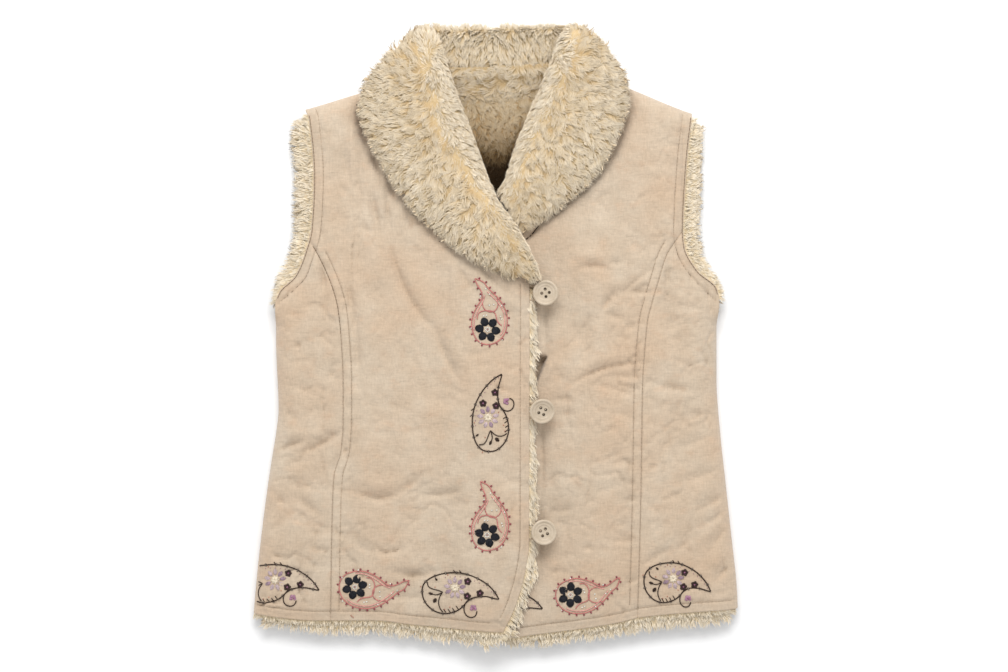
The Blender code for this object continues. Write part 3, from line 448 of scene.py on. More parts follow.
def crease_lines(x, y, cell, seed):
    """Thin hollow lines that wander over the cloth, with stretches of none."""
    value = lattice_noise(x, y, cell, seed) + 0.35 * lattice_noise(x, y, 0.4 * cell, seed + 1)
    return dip(value, 0.11) * smoothstep(0.35 + 1.6 * lattice_noise(x, y, 1.3 * cell, seed + 2))


def crumple(x, y, seed):
    """The unevenness of washed cloth: soft hollows, crinkles, and drapes hanging from the shoulder."""
    turned = lattice_noise(x, y, 70, seed) * 14
    wide = lattice_noise(x + turned, y - turned, 38, seed + 1)
    ridge = 1 - 2 * np.abs(lattice_noise(0.6 * x + turned, y + 0.5 * turned, 26, seed + 2))
    small = lattice_noise(x, 1.3 * y, 9.5, seed + 3) + 0.6 * lattice_noise(x, y, 5.0, seed + 4)
    busy = 0.55 + 0.45 * smoothstep(0.5 + lattice_noise(x, y, 60, seed + 5))
    busy = busy + 0.35 * smoothstep((np.abs(x) - 120) / 60)
    high = smoothstep((y - 10) / 60)
    drapes = lattice_noise(x + 0.1 * y, 0.28 * y, 15, seed + 6)
    lines = crease_lines(x + 0.3 * turned, y * (1 - 0.5 * high), 24, seed + 7)
    fine_lines = crease_lines(x - 0.5 * turned, y + 0.4 * turned, 13, seed + 10)
    return wide + 0.45 * ridge + busy * (0.34 * small - 2.0 * lines - 1.3 * fine_lines) + 1.8 * high * drapes


def front_face(x, y, form, folds, princess, paths, seed):
    """Outer face of a front, with its folds, its seam, its stitch lines and the cloth's unevenness."""
    height, free = form(x, y)
    seam = x - princess(y)
    folded = np.clip(fold_height(folds, x, y), -DEEPEST, HIGHEST) + crumple(x, y, seed)
    drawn = stitch_relief(paths, x, y) * smoothstep(free * 2 + 0.5) - 1.5 * np.exp(-np.abs(seam) / 1.5)
    return height + folded * (1 - 0.6 * dip(seam, 3.0)) * free + drawn


RIGHT_WING_PRESS = 2.4
LEFT_WING_PRESS = 4.2
PRESSED_FROM, PRESSED_TO = 106, 252


def under_wing(away, y, seed):
    """The dip of the cloth along a wing's edge, where the collar presses it down unevenly.

    away is the distance from that edge."""
    uneven = 0.7 + 0.5 * lattice_noise(y, 0 * y, 26, seed)
    pressed = smoothstep((y - PRESSED_FROM) / 20) * smoothstep((PRESSED_TO - y) / 16)
    return uneven * dip(away - 2, 6.5) * pressed


def gap_share(x, y):
    """1 in the gap between the buttons, and 0 past its edges."""
    (x0, y0), (x1, y1) = GAP_EDGE
    edge = x0 + (y - y0) * (x1 - x0) / (y1 - y0)
    over_its_end = smoothstep((y - GAP_END) / 6)
    return smoothstep((edge - x) / 2.2 + 0.5) * smoothstep((GAP_TOP - y) / 2.4 + 0.5) * over_its_end


def right_face(x, y):
    face = front_face(x, y, right_form, RIGHT_FOLDS, princess_right, RIGHT_STITCHES, 11)
    pressed = RIGHT_WING_PRESS * under_wing(right_leaf_line(y) - x, y, 31)
    return face + fold_height(COLLAR_FOLDS, x, y) - pressed


def left_face(x, y):
    face = front_face(x, y, left_form, LEFT_FOLDS, princess_left, LEFT_STITCHES, 23)
    pressed = LEFT_WING_PRESS * under_wing(x - left_leaf_line(y), y, 32) + GAP_DROP * gap_share(x, y)
    return face + fold_height(LAP_FOLDS, x, y) - pressed


# ---------------------------------------------------------------- meshes from arrays


def read(items, key, size, kind=np.float32):
    """One value of every item of a mesh, as an array of rows."""
    values = np.empty(len(items) * size, kind)
    items.foreach_get(key, values)
    return values.reshape(-1, size)


def new_mesh(name, points, faces, finish):
    """A smooth object from points in millimetres and faces as an array, on the garment's one body."""
    mesh = bpy.data.meshes.new(name)
    mesh.vertices.add(len(points))
    mesh.vertices.foreach_set("co", (np.asarray(points, float) * MM).ravel())
    mesh.loops.add(faces.size)
    mesh.loops.foreach_set("vertex_index", faces.ravel().astype(np.int32))
    mesh.polygons.add(len(faces))
    mesh.polygons.foreach_set("loop_start", np.arange(0, faces.size, faces.shape[1], dtype=np.int32))
    mesh.update(calc_edges=True)
    mesh.materials.append(finish)
    mesh.shade_smooth()
    piece = bpy.data.objects.new(name, mesh)
    bpy.context.scene.collection.objects.link(piece)
    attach(piece, "root")
    return piece


def grid_quads(rows, columns):
    """Quads of a grid of rows by columns of cells, as an array."""
    r, c = np.meshgrid(np.arange(rows), np.arange(columns), indexing="ij")
    a = (r * (columns + 1) + c).ravel()
    return np.stack([a, a + 1, a + columns + 2, a + columns + 1], axis=1)


def plan(west, east, south, north, across, up):
    """x and y of a piece's grid, between west and east edges (x at y) and south and north ones (y at x)."""
    s, t = np.meshgrid(across, up)
    y = south(np.zeros_like(s)) * (1 - t) + north(np.zeros_like(s)) * t
    for _ in range(24):
        x = west(y) * (1 - s) + east(y) * s
        y = south(x) * (1 - t) + north(x) * t
    return x, y


def rim_of(rows, columns):
    """Indices of a grid's edge points, in order all round."""
    wide = columns + 1
    south, east = np.arange(columns), np.arange(rows) * wide + columns
    north, west = rows * wide + np.arange(columns, 0, -1), np.arange(rows, 0, -1) * wide
    return np.concatenate([south, east, north, west])


# How a panel's edge is turned under: how far out and how far down each line of the turn lies.
TURN_OUT = (0.35, 0.55, 0.1, -4.5)
TURN_DOWN = (0.35, 1.2, 2.0, 2.5)


def cloth_panel(name, x, y, z, facing=1):
    """A cloth piece as a thin shell whose edges are turned under all round. facing is -1 for the back."""
    rows, columns = x.shape[0] - 1, x.shape[1] - 1
    top = np.stack([x, y, z], axis=-1).reshape(-1, 3)
    around = rim_of(rows, columns)
    edge = top[around]
    run = np.roll(edge, -1, axis=0) - np.roll(edge, 1, axis=0)
    outward = unit(np.stack([run[:, 1], -run[:, 0]], axis=1))
    rings = [edge + np.column_stack([outward * out, np.full(len(edge), -facing * down)])
             for out, down in zip(TURN_OUT, TURN_DOWN)]
    count = len(around)
    loops = [around] + [len(top) + k * count + np.arange(count) for k in range(len(rings))]
    faces = [grid_quads(rows, columns)]
    for inner, outer in zip(loops, loops[1:]):
        faces.append(np.stack([inner, outer, np.roll(outer, -1), np.roll(inner, -1)], axis=1))
    points, faces = np.concatenate([top, *rings]), np.concatenate(faces)
    piece = new_mesh(name, points, faces[:, ::facing], BRUSHED_CLOTH)
    # A map of the cloth as it was cut, in metres, so that its nap and cords follow the cloth.
    cut = piece.data.uv_layers.new(name="cut")
    corners = read(piece.data.loops, "vertex_index", 1, np.int32)[:, 0]
    cut.data.foreach_set("uv", (points[corners, :2] * MM).ravel())
    return piece


# ---------------------------------------------------------------- finishes


def plug(tree, target, value):
    """Sets an input, or links it where the value is another node's output."""
    if isinstance(value, bpy.types.NodeSocket):
        tree.links.new(value, target)
    else:
        target.default_value = value


def node(tree, kind, **values):
    """A node with its settings, and its inputs set or linked by name where the name isn't a setting."""
    made = tree.nodes.new(kind)
    for name, value in values.items():
        if hasattr(made, name):
            setattr(made, name, value)
        else:
            plug(tree, made.inputs[name.replace("_", " ")], value)
    return made


def object_place(tree):
    return node(tree, "ShaderNodeTexCoord").outputs["Object"]


def noise(tree, at, scale, detail, rough=0.5, stretch=None):
    """Noise on a place, which stretch first draws out along its axes."""
    if stretch:
        at = node(tree, "ShaderNodeMapping", Vector=at, Scale=stretch).outputs["Vector"]
    made = node(tree, "ShaderNodeTexNoise", Vector=at, Scale=scale, Detail=detail, Roughness=rough)
    return made.outputs["Fac"]


def ramp(tree, value, *stops):
    """A colour or a grey at each stop, by a value from 0 to 1."""
    made = node(tree, "ShaderNodeValToRGB", Fac=value)
    elements = made.color_ramp.elements
    while len(elements) < len(stops):
        elements.new(0.5)
    for element, (place, colour) in zip(elements, stops):
        element.position = place
        element.color = (*colour, 1) if isinstance(colour, tuple) else (colour, colour, colour, 1)
    return made.outputs["Color"]


def mixed(tree, low, high, share, blend="MIX"):
    """Two colours mixed; each of the three is a socket, or a plain value."""
    made = node(tree, "ShaderNodeMix", data_type="RGBA", blend_type=blend)
    for index, value in ((6, low), (7, high), (0, share)):
        plug(tree, made.inputs[index], (*value, 1) if isinstance(value, tuple) else value)
    return made.outputs[2]


def sums(tree, first, second, operation="ADD"):
    made = node(tree, "ShaderNodeMath", operation=operation)
    for index, value in enumerate((first, second)):
        plug(tree, made.inputs[index], value)
    return made.outputs[0]


def finish_of(name, roughness, sheen=0.0, specular=0.25):
    """A material with its tree and shader, ready for its colour and bump."""
    made = bpy.data.materials.new(name)
    made.use_nodes = True
    shader = made.node_tree.nodes["Principled BSDF"]
    for key, value in (("Roughness", roughness), ("Specular IOR Level", specular), ("Sheen Weight", sheen),
                       ("Sheen Roughness", 0.6)):
        shader.inputs[key].default_value = value
    return made, made.node_tree, shader.inputs


def raise_bump(tree, skin, height, strength, distance, **under):
    made = node(tree, "ShaderNodeBump", Height=height, Strength=strength, Distance=distance, **under)
    plug(tree, skin["Normal"], made.outputs["Normal"])


def new_group(name, output, *inputs):
    """A shader node group that takes a place and gives values, with its tree and its two ends."""
    tree = bpy.data.node_groups.new(name, "ShaderNodeTree")
    for key, kind, default in (("Vector", "NodeSocketVector", (0, 0, 0)), *inputs):
        tree.interface.new_socket(key, in_out="INPUT", socket_type=kind).default_value = default
    for key in output:
        tree.interface.new_socket(key, in_out="OUTPUT", socket_type="NodeSocketFloat")
    return tree, tree.nodes.new("NodeGroupInput").outputs, tree.nodes.new("NodeGroupOutput").inputs


def weave_group():
    """Fine cross cords and nap of the cloth on its map: a mask for the colour and a height for the bump."""
    cords_across = ("Cords across", "NodeSocketFloat", 560.0)
    tree, inside, outside = new_group("fine_cords", ("Mask", "Height"), cords_across)
    at = inside["Vector"]
    lines = node(tree, "ShaderNodeTexWave", wave_type="BANDS", bands_direction="X", wave_profile="SIN",
                 Vector=at, Scale=inside["Cords across"], Distortion=1.6, Detail=2.0, Detail_Scale=0.8)
    slubs = noise(tree, at, 1.0, 3, 0.68, stretch=(110, 620, 1))
    threads = noise(tree, at, 1.0, 3, 0.64, stretch=(640, 130, 1))
    nap = noise(tree, at, 900, 4, 0.7)
    body = sums(tree, sums(tree, slubs, threads), sums(tree, nap, 0.7, "MULTIPLY"))
    cords = sums(tree, lines.outputs["Fac"], 0.35, "MULTIPLY")
    plug(tree, outside["Mask"], sums(tree, body, 0.37, "MULTIPLY"))
    plug(tree, outside["Height"], sums(tree, body, cords))
    return tree


def crinkle_group():
    """Small crinkles of washed cloth: a height, of soft dents with thin creases that cross them."""
    tree, inside, outside = new_group("crinkles", ("Height",))
    at = inside["Vector"]
    total = sums(tree, noise(tree, at, 95, 3, 0.55, stretch=(1.0, 1.25, 1)), 0.55, "MULTIPLY")
    for scale, weight in ((34, 0.45), (80, 0.24)):
        wander = noise(tree, at, scale, 2, 0.5, stretch=(1.0, 1.3, 1))
        crease = sums(tree, sums(tree, wander, 0.5, "SUBTRACT"), 0.0, "ABSOLUTE")
        total = sums(tree, total, sums(tree, ramp(tree, crease, (0.0, 0), (0.075, 1)), weight, "MULTIPLY"))
    plug(tree, outside["Height"], total)
    return tree


FINE_CORDS, CRINKLES = weave_group(), crinkle_group()

CLOTH_MID = (0.525, 0.414, 0.302)
CLOTH_PALE = (0.590, 0.484, 0.367)
CLOTH_PEACH = (0.552, 0.402, 0.275)
CLOTH_BLUSH = (0.560, 0.375, 0.245)
CLOTH_WORN = (0.450, 0.353, 0.258)


def brushed_cloth():
    made, tree, skin = finish_of("brushed_cloth", 0.95, 0.25)
    cut = node(tree, "ShaderNodeUVMap", uv_map="cut").outputs["UV"]
    base = CLOTH_MID
    # Each colour's noise, and where it starts and ends on it and how strong it gets.
    for colour, scale, detail, rough, stretch, low, high, most in (
        (CLOTH_PALE, 34, 4, 0.62, (1, 0.8, 1), 0.34, 0.68, 1),
        (CLOTH_PEACH, 11, 3, 0.6, None, 0.42, 0.66, 0.75),
        (CLOTH_BLUSH, 52, 3, 0.55, (1, 1.4, 1), 0.56, 0.74, 0.35),
        (CLOTH_WORN, 1, 5, 0.7, (70, 120, 1), 0.54, 0.85, 0.5),
    ):
        spread = noise(tree, cut, scale, detail, rough, stretch)
        base = mixed(tree, base, colour, ramp(tree, spread, (low, 0), (high, most)))
    cords = node(tree, "ShaderNodeGroup", node_tree=FINE_CORDS, Vector=cut).outputs
    shade = ramp(tree, cords["Mask"], (0.36, 0.84), (0.64, 1.1))
    plug(tree, skin["Base Color"], mixed(tree, base, shade, 1.0, "MULTIPLY"))
    crinkles = node(tree, "ShaderNodeGroup", node_tree=CRINKLES, Vector=cut).outputs["Height"]
    coarse = node(tree, "ShaderNodeBump", Strength=0.5, Distance=0.0011, Height=crinkles)
    raise_bump(tree, skin, cords["Height"], 0.32, 0.0004, Normal=coarse.outputs["Normal"])
    return made


BRUSHED_CLOTH = brushed_cloth()

# ---------------------------------------------------------------- cloth panels

CLOTH_CELL, FINE_CELL = ((2.25, 1.0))
BACK_CELL = 8.0
STITCH_BAND = 13.0


def banded(length, low, high, cell=CLOTH_CELL):
    """Shares along a length: fine cells in the bands at its two ends, and even ones between."""
    start = np.arange(0, low, FINE_CELL) / length
    end = 1 - np.arange(0, high, FINE_CELL)[::-1] / length
    count = int(round((length - low - high) / cell))
    return np.concatenate([start, np.linspace(low / length, 1 - high / length, count + 1), end])


def build_cloth():
    """The four front panels and the back. Each stands for its node, which it hides."""
    gap = PRINCESS_GAP / 2
    right_seam, left_seam = (
        x_at({"y": seam["y"], "x": seam["x"] + aside}, above(side, low)) for seam, aside, side, low in (
            (RIGHT_PRINCESS, gap, RIGHT_SIDE, 98), (LEFT_PRINCESS, -gap, LEFT_SIDE, 107),
        )
    )
    up, side_up = banded(560, STITCH_BAND, 7), banded(370, STITCH_BAND, 3)
    centre, side_out = banded(205, STITCH_BAND, STITCH_BAND), banded(72, STITCH_BAND, 3)
    for name, face, west, east, south, north, across, rows, flat in (
        ("right_front_centre", right_face, right_seam, right_front_edge, right_hem, shoulder, centre, up,
         (0.245, 0.575)),
        ("right_front_side", right_face, side_right,
         lambda y: princess_right(y) - gap - gap * smoothstep((y - 60) / 25), right_hem, level(94.8),
         side_out, side_up, (0.118, 0.392)),
        ("left_front_centre", left_face, left_front_edge, left_seam, left_hem, shoulder, centre, up,
         (0.250, 0.585)),
        ("left_front_side", left_face, shifted(princess_left, gap), side_left, left_hem, level(104.2),
         1 - side_out[::-1], side_up, (0.122, 0.402)),
    ):
        x, y = plan(west, east, south, north, across, rows)
        z = face(x, y)
        piece = cloth_panel(name + "_cloth", x, y, z)
        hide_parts(name)
    across, rows = banded(440, 9, 9, BACK_CELL), banded(540, 3, 9, BACK_CELL)
    x, y = plan(side_right, side_left, back_hem, shoulder, across, rows)
    z = back_face(x, y)
    piece = cloth_panel("back_panel_cloth", x, y, z, facing=-1)
    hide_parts("back_panel")


build_cloth()

# ---------------------------------------------------------------- pile: ground and locks

# How the pile is combed: at each point, the way the tips lean, in degrees from +X turning to +Y.
RIGHT_COMB = table(
    "x y turn", (-119, 245, 183), (-102, 277, 158), (-84, 289, 140), (-72, 305, 98), (-114, 227, 188),
    (-116, 207, 186), (-112, 195, 196), (-100, 169, 213), (-84, 152, 222), (-68, 143, 226), (-54, 122, 222),
    (-42, 111, 220), (-30, 97, 244), (-17, 86, 256), (2, 73, 262), (22, 80, 285), (34, 77, 325),
    (40, 62, 290), (-57, 277, 320), (-51, 247, 335), (-42, 217, 338), (-31, 192, 340), (-19, 172, 340),
    (-6, 147, 338), (9, 131, 335), (24, 102, 322), (-80, 239, 212), (-70, 217, 236), (-54, 197, 242),
    (-44, 177, 246), (-32, 152, 240), (-19, 132, 240), (-6, 112, 252), (6, 92, 262), (-90, 262, 172),
    (-74, 277, 128), (-62, 300, 80), (-126, 222, 186), (-92, 200, 200), (-74, 178, 216), (-66, 250, 225),
)
LEFT_COMB = table(
    "x y turn", (70, 297, 215), (57, 262, 203), (44, 227, 200), (27, 197, 200), (13, 167, 202), (6, 147, 215),
    (18, 132, 262), (90, 307, 78), (116, 295, 38), (105, 273, 356), (105, 251, 342), (95, 229, 332),
    (84, 202, 330), (62, 187, 302), (80, 237, 320), (70, 222, 302), (125, 237, 350), (118, 207, 335),
    (95, 172, 320), (66, 137, 305), (40, 112, 285), (26, 109, 268), (46, 147, 290), (50, 167, 292),
    (74, 268, 338), (80, 285, 40), (40, 190, 262), (56, 220, 275), (28, 158, 268), (86, 155, 318),
)
NECK_COMB = table(
    "x y turn", (-60, 306, 262), (0, 308, 270), (60, 306, 276), (-50, 280, 262), (0, 284, 270),
    (50, 280, 278), (-40, 262, 240), (-15, 259, 200), (12, 259, 182), (36, 262, 300), (-36, 240, 250),
    (-10, 240, 300), (16, 240, 262), (40, 236, 288), (-28, 215, 262), (0, 212, 276), (26, 206, 286),
    (-18, 186, 250), (2, 180, 290), (18, 180, 262), (0, 150, 270),
)
RIGHT_RIM_COMB = table(
    "x y turn", (-215, 50, 195), (-200, 100, 176), (-200, 160, 178), (-203, 220, 168), (-240, -290, 250),
    (-190, -295, 262), (-140, -298, 272), (-90, -302, 268), (-40, -305, 274), (0, -312, 268), (20, -315, 280),
    (30, -290, 320), (38, -240, 298), (44, -150, 298), (44, -60, 294), (44, 30, 298), (-222, 35, 215),
)
LEFT_RIM_COMB = table(
    "x y turn", (222, 50, -12), (208, 100, 4), (208, 160, 0), (210, 215, 12), (245, -285, 292),
    (190, -290, 280), (140, -297, 272), (90, -303, 268), (50, -309, 262), (10, -310, 268), (228, 38, -35),
    (240, -260, 320),
)
BACK_RIM_COMB = joined(
    NECK_COMB,
    table(
        "x y turn",
        (-240, -283, 250), (-120, -292, 270), (0, -303, 270), (120, -292, 272), (245, -280, 290),
        (-222, 40, 200), (-203, 120, 180), (-203, 220, 170), (225, 40, -20), (209, 120, 0), (209, 220, 8),
    ),
)


def comb_at(combing, x, y):
    """The way of the tips at a point, weighed from the table's nearest rows."""
    away = (x[:, None] - combing["x"]) ** 2 + (y[:, None] - combing["y"]) ** 2
    weight = 1 / (away + 30) ** 2
    turn = np.radians(combing["turn"])
    return np.arctan2((weight * np.sin(turn)).sum(1), (weight * np.cos(turn)).sum(1))


def all_solids():
    """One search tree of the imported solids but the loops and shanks, for what covers what."""
    points, faces, first = [], [], 0
    for name in sorted(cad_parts):
        if "loop" in name or "shank" in name:
            continue
        mesh = bpy.data.objects[name].data
        mesh.calc_loop_triangles()
        points.append(read(mesh.vertices, "co", 3).astype(float))
        faces.append(read(mesh.loop_triangles, "vertices", 3, np.int32) + first)
        first += len(points[-1])
    return BVHTree.FromPolygons(np.concatenate(points).tolist(), np.concatenate(faces).tolist())


SOLIDS = all_solids()
RAYS = 12
RAY_REACH, RAY_START = 0.11, 0.0012  # in metres
GOLDEN_TURN = 2.39996


def openness(points, normals):
    """For each point in metres, the share of directions round its normal that meet no solid or floor."""
    open_share = np.zeros(len(points))
    # Directions spread over the half sphere round +Z, with more of them near its top.
    k = np.arange(RAYS) + 0.5
    height, turn = np.sqrt(1 - k / RAYS * 0.96), k * GOLDEN_TURN
    flat = np.sqrt(1 - height**2)
    pattern = np.stack([flat * np.cos(turn), flat * np.sin(turn), height], axis=1)
    for i, (at, normal) in enumerate(zip(points, normals)):
        side = np.cross(normal, (0, 1, 0) if abs(normal[1]) < 0.8 else (1, 0, 0))
        side /= np.linalg.norm(side)
        start = at + normal * RAY_START
        free = 0
        for ray in pattern @ np.stack([side, np.cross(side, normal), normal]):
            floor_in_the_way = ray[2] < -0.02 and start[2] / -ray[2] < RAY_REACH
            free += not floor_in_the_way and SOLIDS.ray_cast(start, ray, RAY_REACH)[0] is None
        open_share[i] = free / RAYS
    return open_share


def modify(piece, kind, **settings):
    """Puts a modifier on an object, and applies it."""
    bpy.context.view_layer.objects.active = piece
    made = piece.modifiers.new("made", kind)
    for key, value in settings.items():
        setattr(made, key, value)
    bpy.ops.object.modifier_apply(modifier="made")


def smoothed(points, quads, times):
    """Points drawn halfway to the middle of their neighbours, some times over."""
    count = np.zeros(len(points))
    pairs = [(quads[:, k], quads[:, (k + 1) % 4]) for k in range(4)]
    pairs = [pair for a, b in pairs for pair in ((a, b), (b, a))]
    for a, _ in pairs:
        np.add.at(count, a, 1)
    for _ in range(times):
        total = np.zeros_like(points)
        for a, b in pairs:
            np.add.at(total, a, points[b])
        points = 0.5 * points + 0.5 * total / np.maximum(count, 1)[:, None]
    return points


def surface_facts(points, quads):
    """Vertex normals, face centres, face normals and face areas of a mesh of quads."""
    corner = points[quads]
    cross = np.cross(corner[:, 2] - corner[:, 0], corner[:, 3] - corner[:, 1])
    normal = np.zeros_like(points)
    for k in range(4):
        np.add.at(normal, quads[:, k], cross)
    return unit(normal), corner.mean(axis=1), unit(cross), np.linalg.norm(cross, axis=1) / 2


COVERED_DROP = 3.0  # how far the fronts' linings sink where the cloth covers them
FLATTENED = 8.5  # height of the left lining below the gap between the buttons
LOWEST_GROUND, LOWEST_LOCK = 0.2, 0.35
WELD = 0.00005  # in metres
SEEN = 0.04  # the openness under which no pile grows
LINING_THINNED, COLLAR_THINNED = 0.1, 0.35  # the share of the ground's faces that is kept


def grown_ground(name, voxel, depth):
    """A copy of a pile node, remeshed evenly and drawn in by its pile's depth, as the node's ground.

    It gives the drawn-in points, the quads, and each quad's normal and share of the pile."""
    piece = bpy.data.objects.new(name + "_ground", bpy.data.objects[name].data.copy())
    bpy.context.scene.collection.objects.link(piece)
    welded = bmesh.new()
    welded.from_mesh(piece.data)
    bmesh.ops.remove_doubles(welded, verts=welded.verts, dist=WELD)
    welded.to_mesh(piece.data)
    welded.free()
    modify(piece, "REMESH", mode="VOXEL", voxel_size=voxel * MM)
    mesh = piece.data
    quads = read(mesh.loops, "vertex_index", 1, np.int32).reshape(-1, 4)
    points = smoothed(read(mesh.vertices, "co", 3).astype(float), quads, 3)
    normals, centres, face_normals, areas = surface_facts(points, quads)
    seen = openness(centres, face_normals)
    inner = smoothed(points - normals * depth * MM, quads, 4)
    inner_normals, _, inner_face_normals, _ = surface_facts(inner, quads)
    covered = np.ones(len(inner), bool)
    covered[quads[seen > 0.02].ravel()] = False
    if name.endswith("front_lining"):
        inner[:, 2] -= COVERED_DROP * MM * (covered & (inner_normals[:, 2] > 0.2))
    if name == "left_front_lining":
        # Below the gap between the buttons the lining is pressed flat.
        x, y = inner[:, 0] / MM, inner[:, 1] / MM
        drop = np.maximum(gap_share(x - 1.5, y), gap_share(x - 4.5, np.minimum(y, GAP_TOP - 2)))
        drop = drop * smoothstep((GAP_TOP + 8 - y) / 3)
        inner[:, 2] += drop * (FLATTENED * MM + 0.05 * (inner[:, 2] - 0.0115) - inner[:, 2])
    inner[:, 2] = np.maximum(inner[:, 2], LOWEST_GROUND * MM)
    mesh.vertices.foreach_set("co", inner.astype(np.float32).ravel())
    mesh.update()
    is_lining = name.endswith("lining")
    modify(piece, "DECIMATE", ratio=LINING_THINNED if is_lining else COLLAR_THINNED)
    piece.data.shade_smooth()
    piece.data.materials.clear()
    piece.data.materials.append(RIM_GROUND if is_lining else PILE_GROUND)
    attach(piece, "root")
    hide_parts(name)
    return inner / MM, quads, inner_face_normals, areas / MM**2 * np.where(seen > SEEN, 0.15 + seen, 0.0)


# Locks and hairs: where their rings stand along them, and how wide they are there.
STRAND_FORMS = {
    "locks": (np.array([0, 0.38, 0.74, 1.0]), np.array([0.85, 1.0, 0.72, 0.0])),
    "hairs": (np.array([0, 0.52, 1.0]), np.array([0.9, 0.85, 0.0])),
}
LOCK_FLAT = 0.4  # a lock's thickness as a share of its width
SOFT_SHADE = 0.76  # how far a lock is shaded as its ground, not as itself


def tube_faces(count, sides, rings, pointed):
    """Triangles of many tapered tubes that end in a point, and that start in one, or in a triangle."""
    first = int(pointed)
    tip = first + rings * sides
    faces = [(0, first + (k + 1) % sides, first + k) for k in range(sides)] if pointed else [(0, 2, 1)]
    for a in range(first, tip):
        b = a + 1 if (a + 1 - first) % sides else a + 1 - sides
        faces += [(a, b, b + sides), (a, b + sides, a + sides)] if a + sides < tip else [(a, b, tip)]
    return (np.array(faces)[None] + (tip + 1) * np.arange(count)[:, None, None]).reshape(-1, 3)


def strand_points(corners, rings, tips):
    """The points of each strand, in one row: its rings' three corners, and its tip."""
    walls = np.stack([c[:, :rings] for c in corners], axis=2).reshape(len(tips), 3 * rings, 3)
    return np.concatenate([walls, tips[:, None]], axis=1)


def strand_mesh(name, strands, steps, girths):
    """Closed tapered strands, all in one mesh. way and up are each root's directions, in millimetres."""
    root, way, up, phase = (strands[key] for key in ("root", "way", "up", "phase"))
    rings = len(steps) - 1
    at = steps[None, :, None]
    swing = np.sin(phase[:, None] + strands["turns"][:, None] * steps) - np.sin(phase[:, None])
    spine = root[:, None] + way[:, None] * (strands["length"] * strands["lean"])[:, None, None] * at
    spine = spine + up[:, None] * strands["rise"][:, None, None] * (1 - (1 - at) ** 1.8)
    swing = (strands["wave"][:, None] * swing * np.sqrt(steps))[:, :, None]
    spine = spine + np.cross(up, way)[:, None] * swing
    spine = spine + strands["pull"][:, None] * at**1.6
    run = unit(np.gradient(spine, axis=1))
    across = unit(np.cross(up[:, None], run))
    over = np.cross(run, across)
    girth = (strands["width"][:, None] / 2 * girths)[:, :, None]
    corners, turned = [], []
    upright = up[:, None, 2:3] > -0.15
    for k in range(3):
        c, s = heading(90 + 120 * k)
        corners.append(spine + across * girth * c + over * girth * LOCK_FLAT * s)
        turned.append(across * c + over * (np.where(upright, 0.85, s) if k else 1.0))
    points = strand_points(corners, rings, spine[:, -1])
    points[:, :, 2] = np.maximum(points[:, :, 2], LOWEST_LOCK)
    faces = tube_faces(len(root), 3, rings, pointed=False)
    piece = new_mesh(name, points.reshape(-1, 3), faces, PILE_LOCKS)
    colour = np.ones((*points.shape[:2], 4), np.float32)
    colour[:, :, 0] = np.concatenate([np.repeat(steps[:rings], 3), [1.0]])
    colour[:, :, 1:3] = strands["tones"][:, None]
    layer = piece.data.color_attributes.new(name="lock", type="FLOAT_COLOR", domain="POINT")
    layer.data.foreach_set("color", colour.ravel())
    # Soft pile is lit as one surface, so its strands shade mostly by the ground that they grow from.
    beside = smoothstep((0.9 - up[:, 2]) / 0.7)
    lit = unit(up + np.array([0, 0, 1]) * (0.7 + 0.7 * beside)[:, None])
    share = np.where(upright, (SOFT_SHADE + 0.2 * beside)[:, None, None], 0.0)
    own = unit(strand_points(turned, rings, over[:, -1]))
    shading = unit(own * (1 - share) + lit[:, None] * share)
    piece.data.normals_split_custom_set_from_vertices(shading.reshape(-1, 3))


